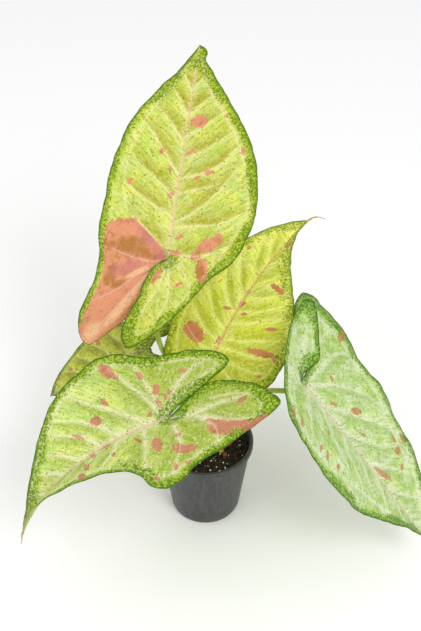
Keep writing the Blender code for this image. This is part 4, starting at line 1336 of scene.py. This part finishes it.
# %% Scatter tree for crumbs and perlite
def scatter_tree():
    """Small rocks on the surface, spread, turned and sized at random."""
    sizes = [(label, "NodeSocketFloat") for label in ("Density", "Smallest", "Largest", "Wear")]
    sizes += [("Detail", "NodeSocketInt"), ("Seed", "NodeSocketInt"), ("Material", "NodeSocketMaterial")]
    tree, given = group_with("scattered grains", sizes)
    spread = add_node(tree, "GeometryNodeDistributePointsOnFaces", {
        "Mesh": given["Geometry"], "Density": given["Density"], "Seed": given["Seed"]},
        distribute_method="RANDOM")
    rock = add_node(tree, "GeometryNodeMeshIcoSphere", {"Radius": 1.0, "Subdivisions": given["Detail"]})
    turned_by = add_node(tree, "FunctionNodeRandomValue", {1: (6.28, 6.28, 6.28), "Seed": given["Seed"]},
                         data_type="FLOAT_VECTOR")
    size = add_node(tree, "FunctionNodeRandomValue", {
        2: given["Smallest"], 3: given["Largest"], "Seed": given["Seed"]}, data_type="FLOAT")
    shape = add_node(tree, "FunctionNodeRandomValue", {
        0: (0.6, 0.6, 0.4), 1: (1.3, 1.0, 0.9), "Seed": given["Seed"]}, data_type="FLOAT_VECTOR")
    scale = add_node(tree, "ShaderNodeVectorMath", {0: shape.outputs["Value"], "Scale": size.outputs[1]},
                     operation="SCALE")
    placed = add_node(tree, "GeometryNodeInstanceOnPoints", {
        "Points": spread.outputs["Points"], "Instance": rock.outputs[0],
        "Rotation": turned_by.outputs["Value"], "Scale": scale.outputs[0]})
    real = add_node(tree, "GeometryNodeRealizeInstances", {"Geometry": placed.outputs[0]})
    # Each point is pushed by a noise, so that no two rocks are alike
    place = add_node(tree, "GeometryNodeInputPosition").outputs[0]
    rough = add_node(tree, "ShaderNodeTexNoise", {"Vector": place, "Scale": 900.0, "Detail": 1.0})
    centred = add_node(tree, "ShaderNodeVectorMath", {0: rough.outputs["Color"], 1: (0.5, 0.5, 0.5)},
                       operation="SUBTRACT")
    reach = add_node(tree, "ShaderNodeMath", {0: given["Largest"], 1: given["Wear"]}, operation="MULTIPLY")
    push = add_node(tree, "ShaderNodeVectorMath", {0: centred.outputs[0], "Scale": reach.outputs[0]},
                    operation="SCALE")
    worn = add_node(tree, "GeometryNodeSetPosition", {"Geometry": real.outputs[0], "Offset": push.outputs[0]})
    end_tree(tree, worn.outputs[0], given["Material"], False)
    return tree


# %% Soil materials
def grain_material(name, dark, light, roughness, millimetres):
    """A rough stuff whose colour drifts between two shades, in clouds of a given size."""
    made, tree, shader, place = new_material(name, roughness)
    colour = painted(tree, dark, [(grains(tree, place, millimetres, 0.4, 0.65), 1.0, light)])
    dress(tree, shader, colour, grains(tree, place, 0.5, 0.0, 1.0), 0.5, 0.0003)
    return made


# %% Make the soil
PATCH_RINGS = 16
PATCH_SIDES = 48
CRUMB_SPREAD = 0.0318
PERLITE_SPREAD = 0.0310


def patch_host(radius):
    """A temporary disc of soil for the scatter tree to spread grains over."""
    return make_object("patch", *soil_patch(radius, PATCH_RINGS, PATCH_SIDES))


soil = make_soil()
# Moist peat: nearly black, matt, with brown fibres
soil.data.materials.append(grain_material("moist peat", "#17110a", "#37281a", 0.85, 2.0))
scatter = scatter_tree()
bark = grain_material("bark crumbs", "#150f09", "#49341f", 0.9, 3.0)
perlite = grain_material("perlite", "#dcd8ce", "#ffffff", 0.8, 1.0)
crumbs = baked(patch_host(CRUMB_SPREAD), scatter, {
    "Density": 330000.0, "Smallest": 0.0005, "Largest": 0.0018, "Wear": 0.5, "Detail": 1, "Seed": 4,
    "Material": bark}, "bark_crumbs")
perlite_grains = baked(patch_host(PERLITE_SPREAD), scatter, {
    "Density": 34000.0, "Smallest": 0.0005, "Largest": 0.0012, "Wear": 0.5, "Detail": 2, "Seed": 9,
    "Material": perlite}, "perlite_grains")
print("crumb faces:", len(crumbs.data.polygons), "perlite faces:", len(perlite_grains.data.polygons))

# %% [markdown]
# ## Feed prills
# Slow-release feed comes as resin-coated beads of about 5 mm: fresh ones are yellow-green, and older ones
# are red-brown.

# %% Feed prills
PRILL_RADIUS = 0.0023
PRILL_LIFT = 0.7
UNEVEN = 0.02
PRILLS = [((0.0123, -0.0071), "fresh"), ((0.0186, -0.0007), "old"), ((0.0153, -0.0113), "old"),
          ((-0.0190, 0.0120), "old"), ((0.0020, 0.0230), "fresh")]


def make_ball(points, faces, centre, radius, rings=12, sides=18):
    """Add a slightly uneven ball to lists of points and faces."""
    x, y, z = centre
    pole = len(points)
    points.append((x, y, z - radius))
    for number in range(1, rings):
        tilt = math.pi * number / rings
        for k in range(sides):
            angle = 2 * math.pi * k / sides
            swell = radius * (1 + UNEVEN * math.sin(3 * angle + 5 * tilt))
            out = swell * math.sin(tilt)
            points.append((x + out * math.cos(angle), y + out * math.sin(angle), z - swell * math.cos(tilt)))
    points.append((x, y, z + radius))
    lowest = pole + 1
    highest = lowest + (rings - 2) * sides
    for low in range(lowest, highest, sides):
        faces += join_rings(low, low + sides, sides, rising=True)
    for k in range(sides):
        after = (k + 1) % sides
        faces.append((pole, lowest + after, lowest + k))
        faces.append((highest + k, highest + after, highest + sides))


def make_prills(name, kind, dark, light):
    """All prills of one kind, resting on the crumbs."""
    points = []
    faces = []
    for (x, y), which in PRILLS:
        if which == kind:
            make_ball(points, faces, (x, y, soil_height(x, y) + PRILL_RADIUS * PRILL_LIFT), PRILL_RADIUS)
    prills = make_object(name, points, faces)
    made = grain_material(name.replace("_", " "), dark, light, 0.35, 4.0)
    prills.data.materials.append(made)
    return prills


fresh_prills = make_prills("fresh_prills", "fresh", "#9c8f2c", "#c3b94e")
old_prills = make_prills("old_prills", "old", "#4e2416", "#7a3d22")
print("prills:", len(PRILLS))

# %% [markdown]
# ## Put the pieces on one body
# Every piece rides on the one body. The leaves, stalks, stem, pot and soil stand in for their nodes, whose
# plain solids are hidden.

# %% Ride and replace
for name in LEAVES:
    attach(leaves[name], "root")
    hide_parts("blade_" + name)
    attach(stalks[name], "root")
    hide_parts("petiole_" + name)
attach(stem, "root")
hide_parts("stem")
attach(pot, "root")
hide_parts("pot")
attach(soil, "root")
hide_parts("soil")
for tip in tips:
    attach(tip, "root")
for piece in (crumbs, perlite_grains, fresh_prills, old_prills):
    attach(piece, "root")
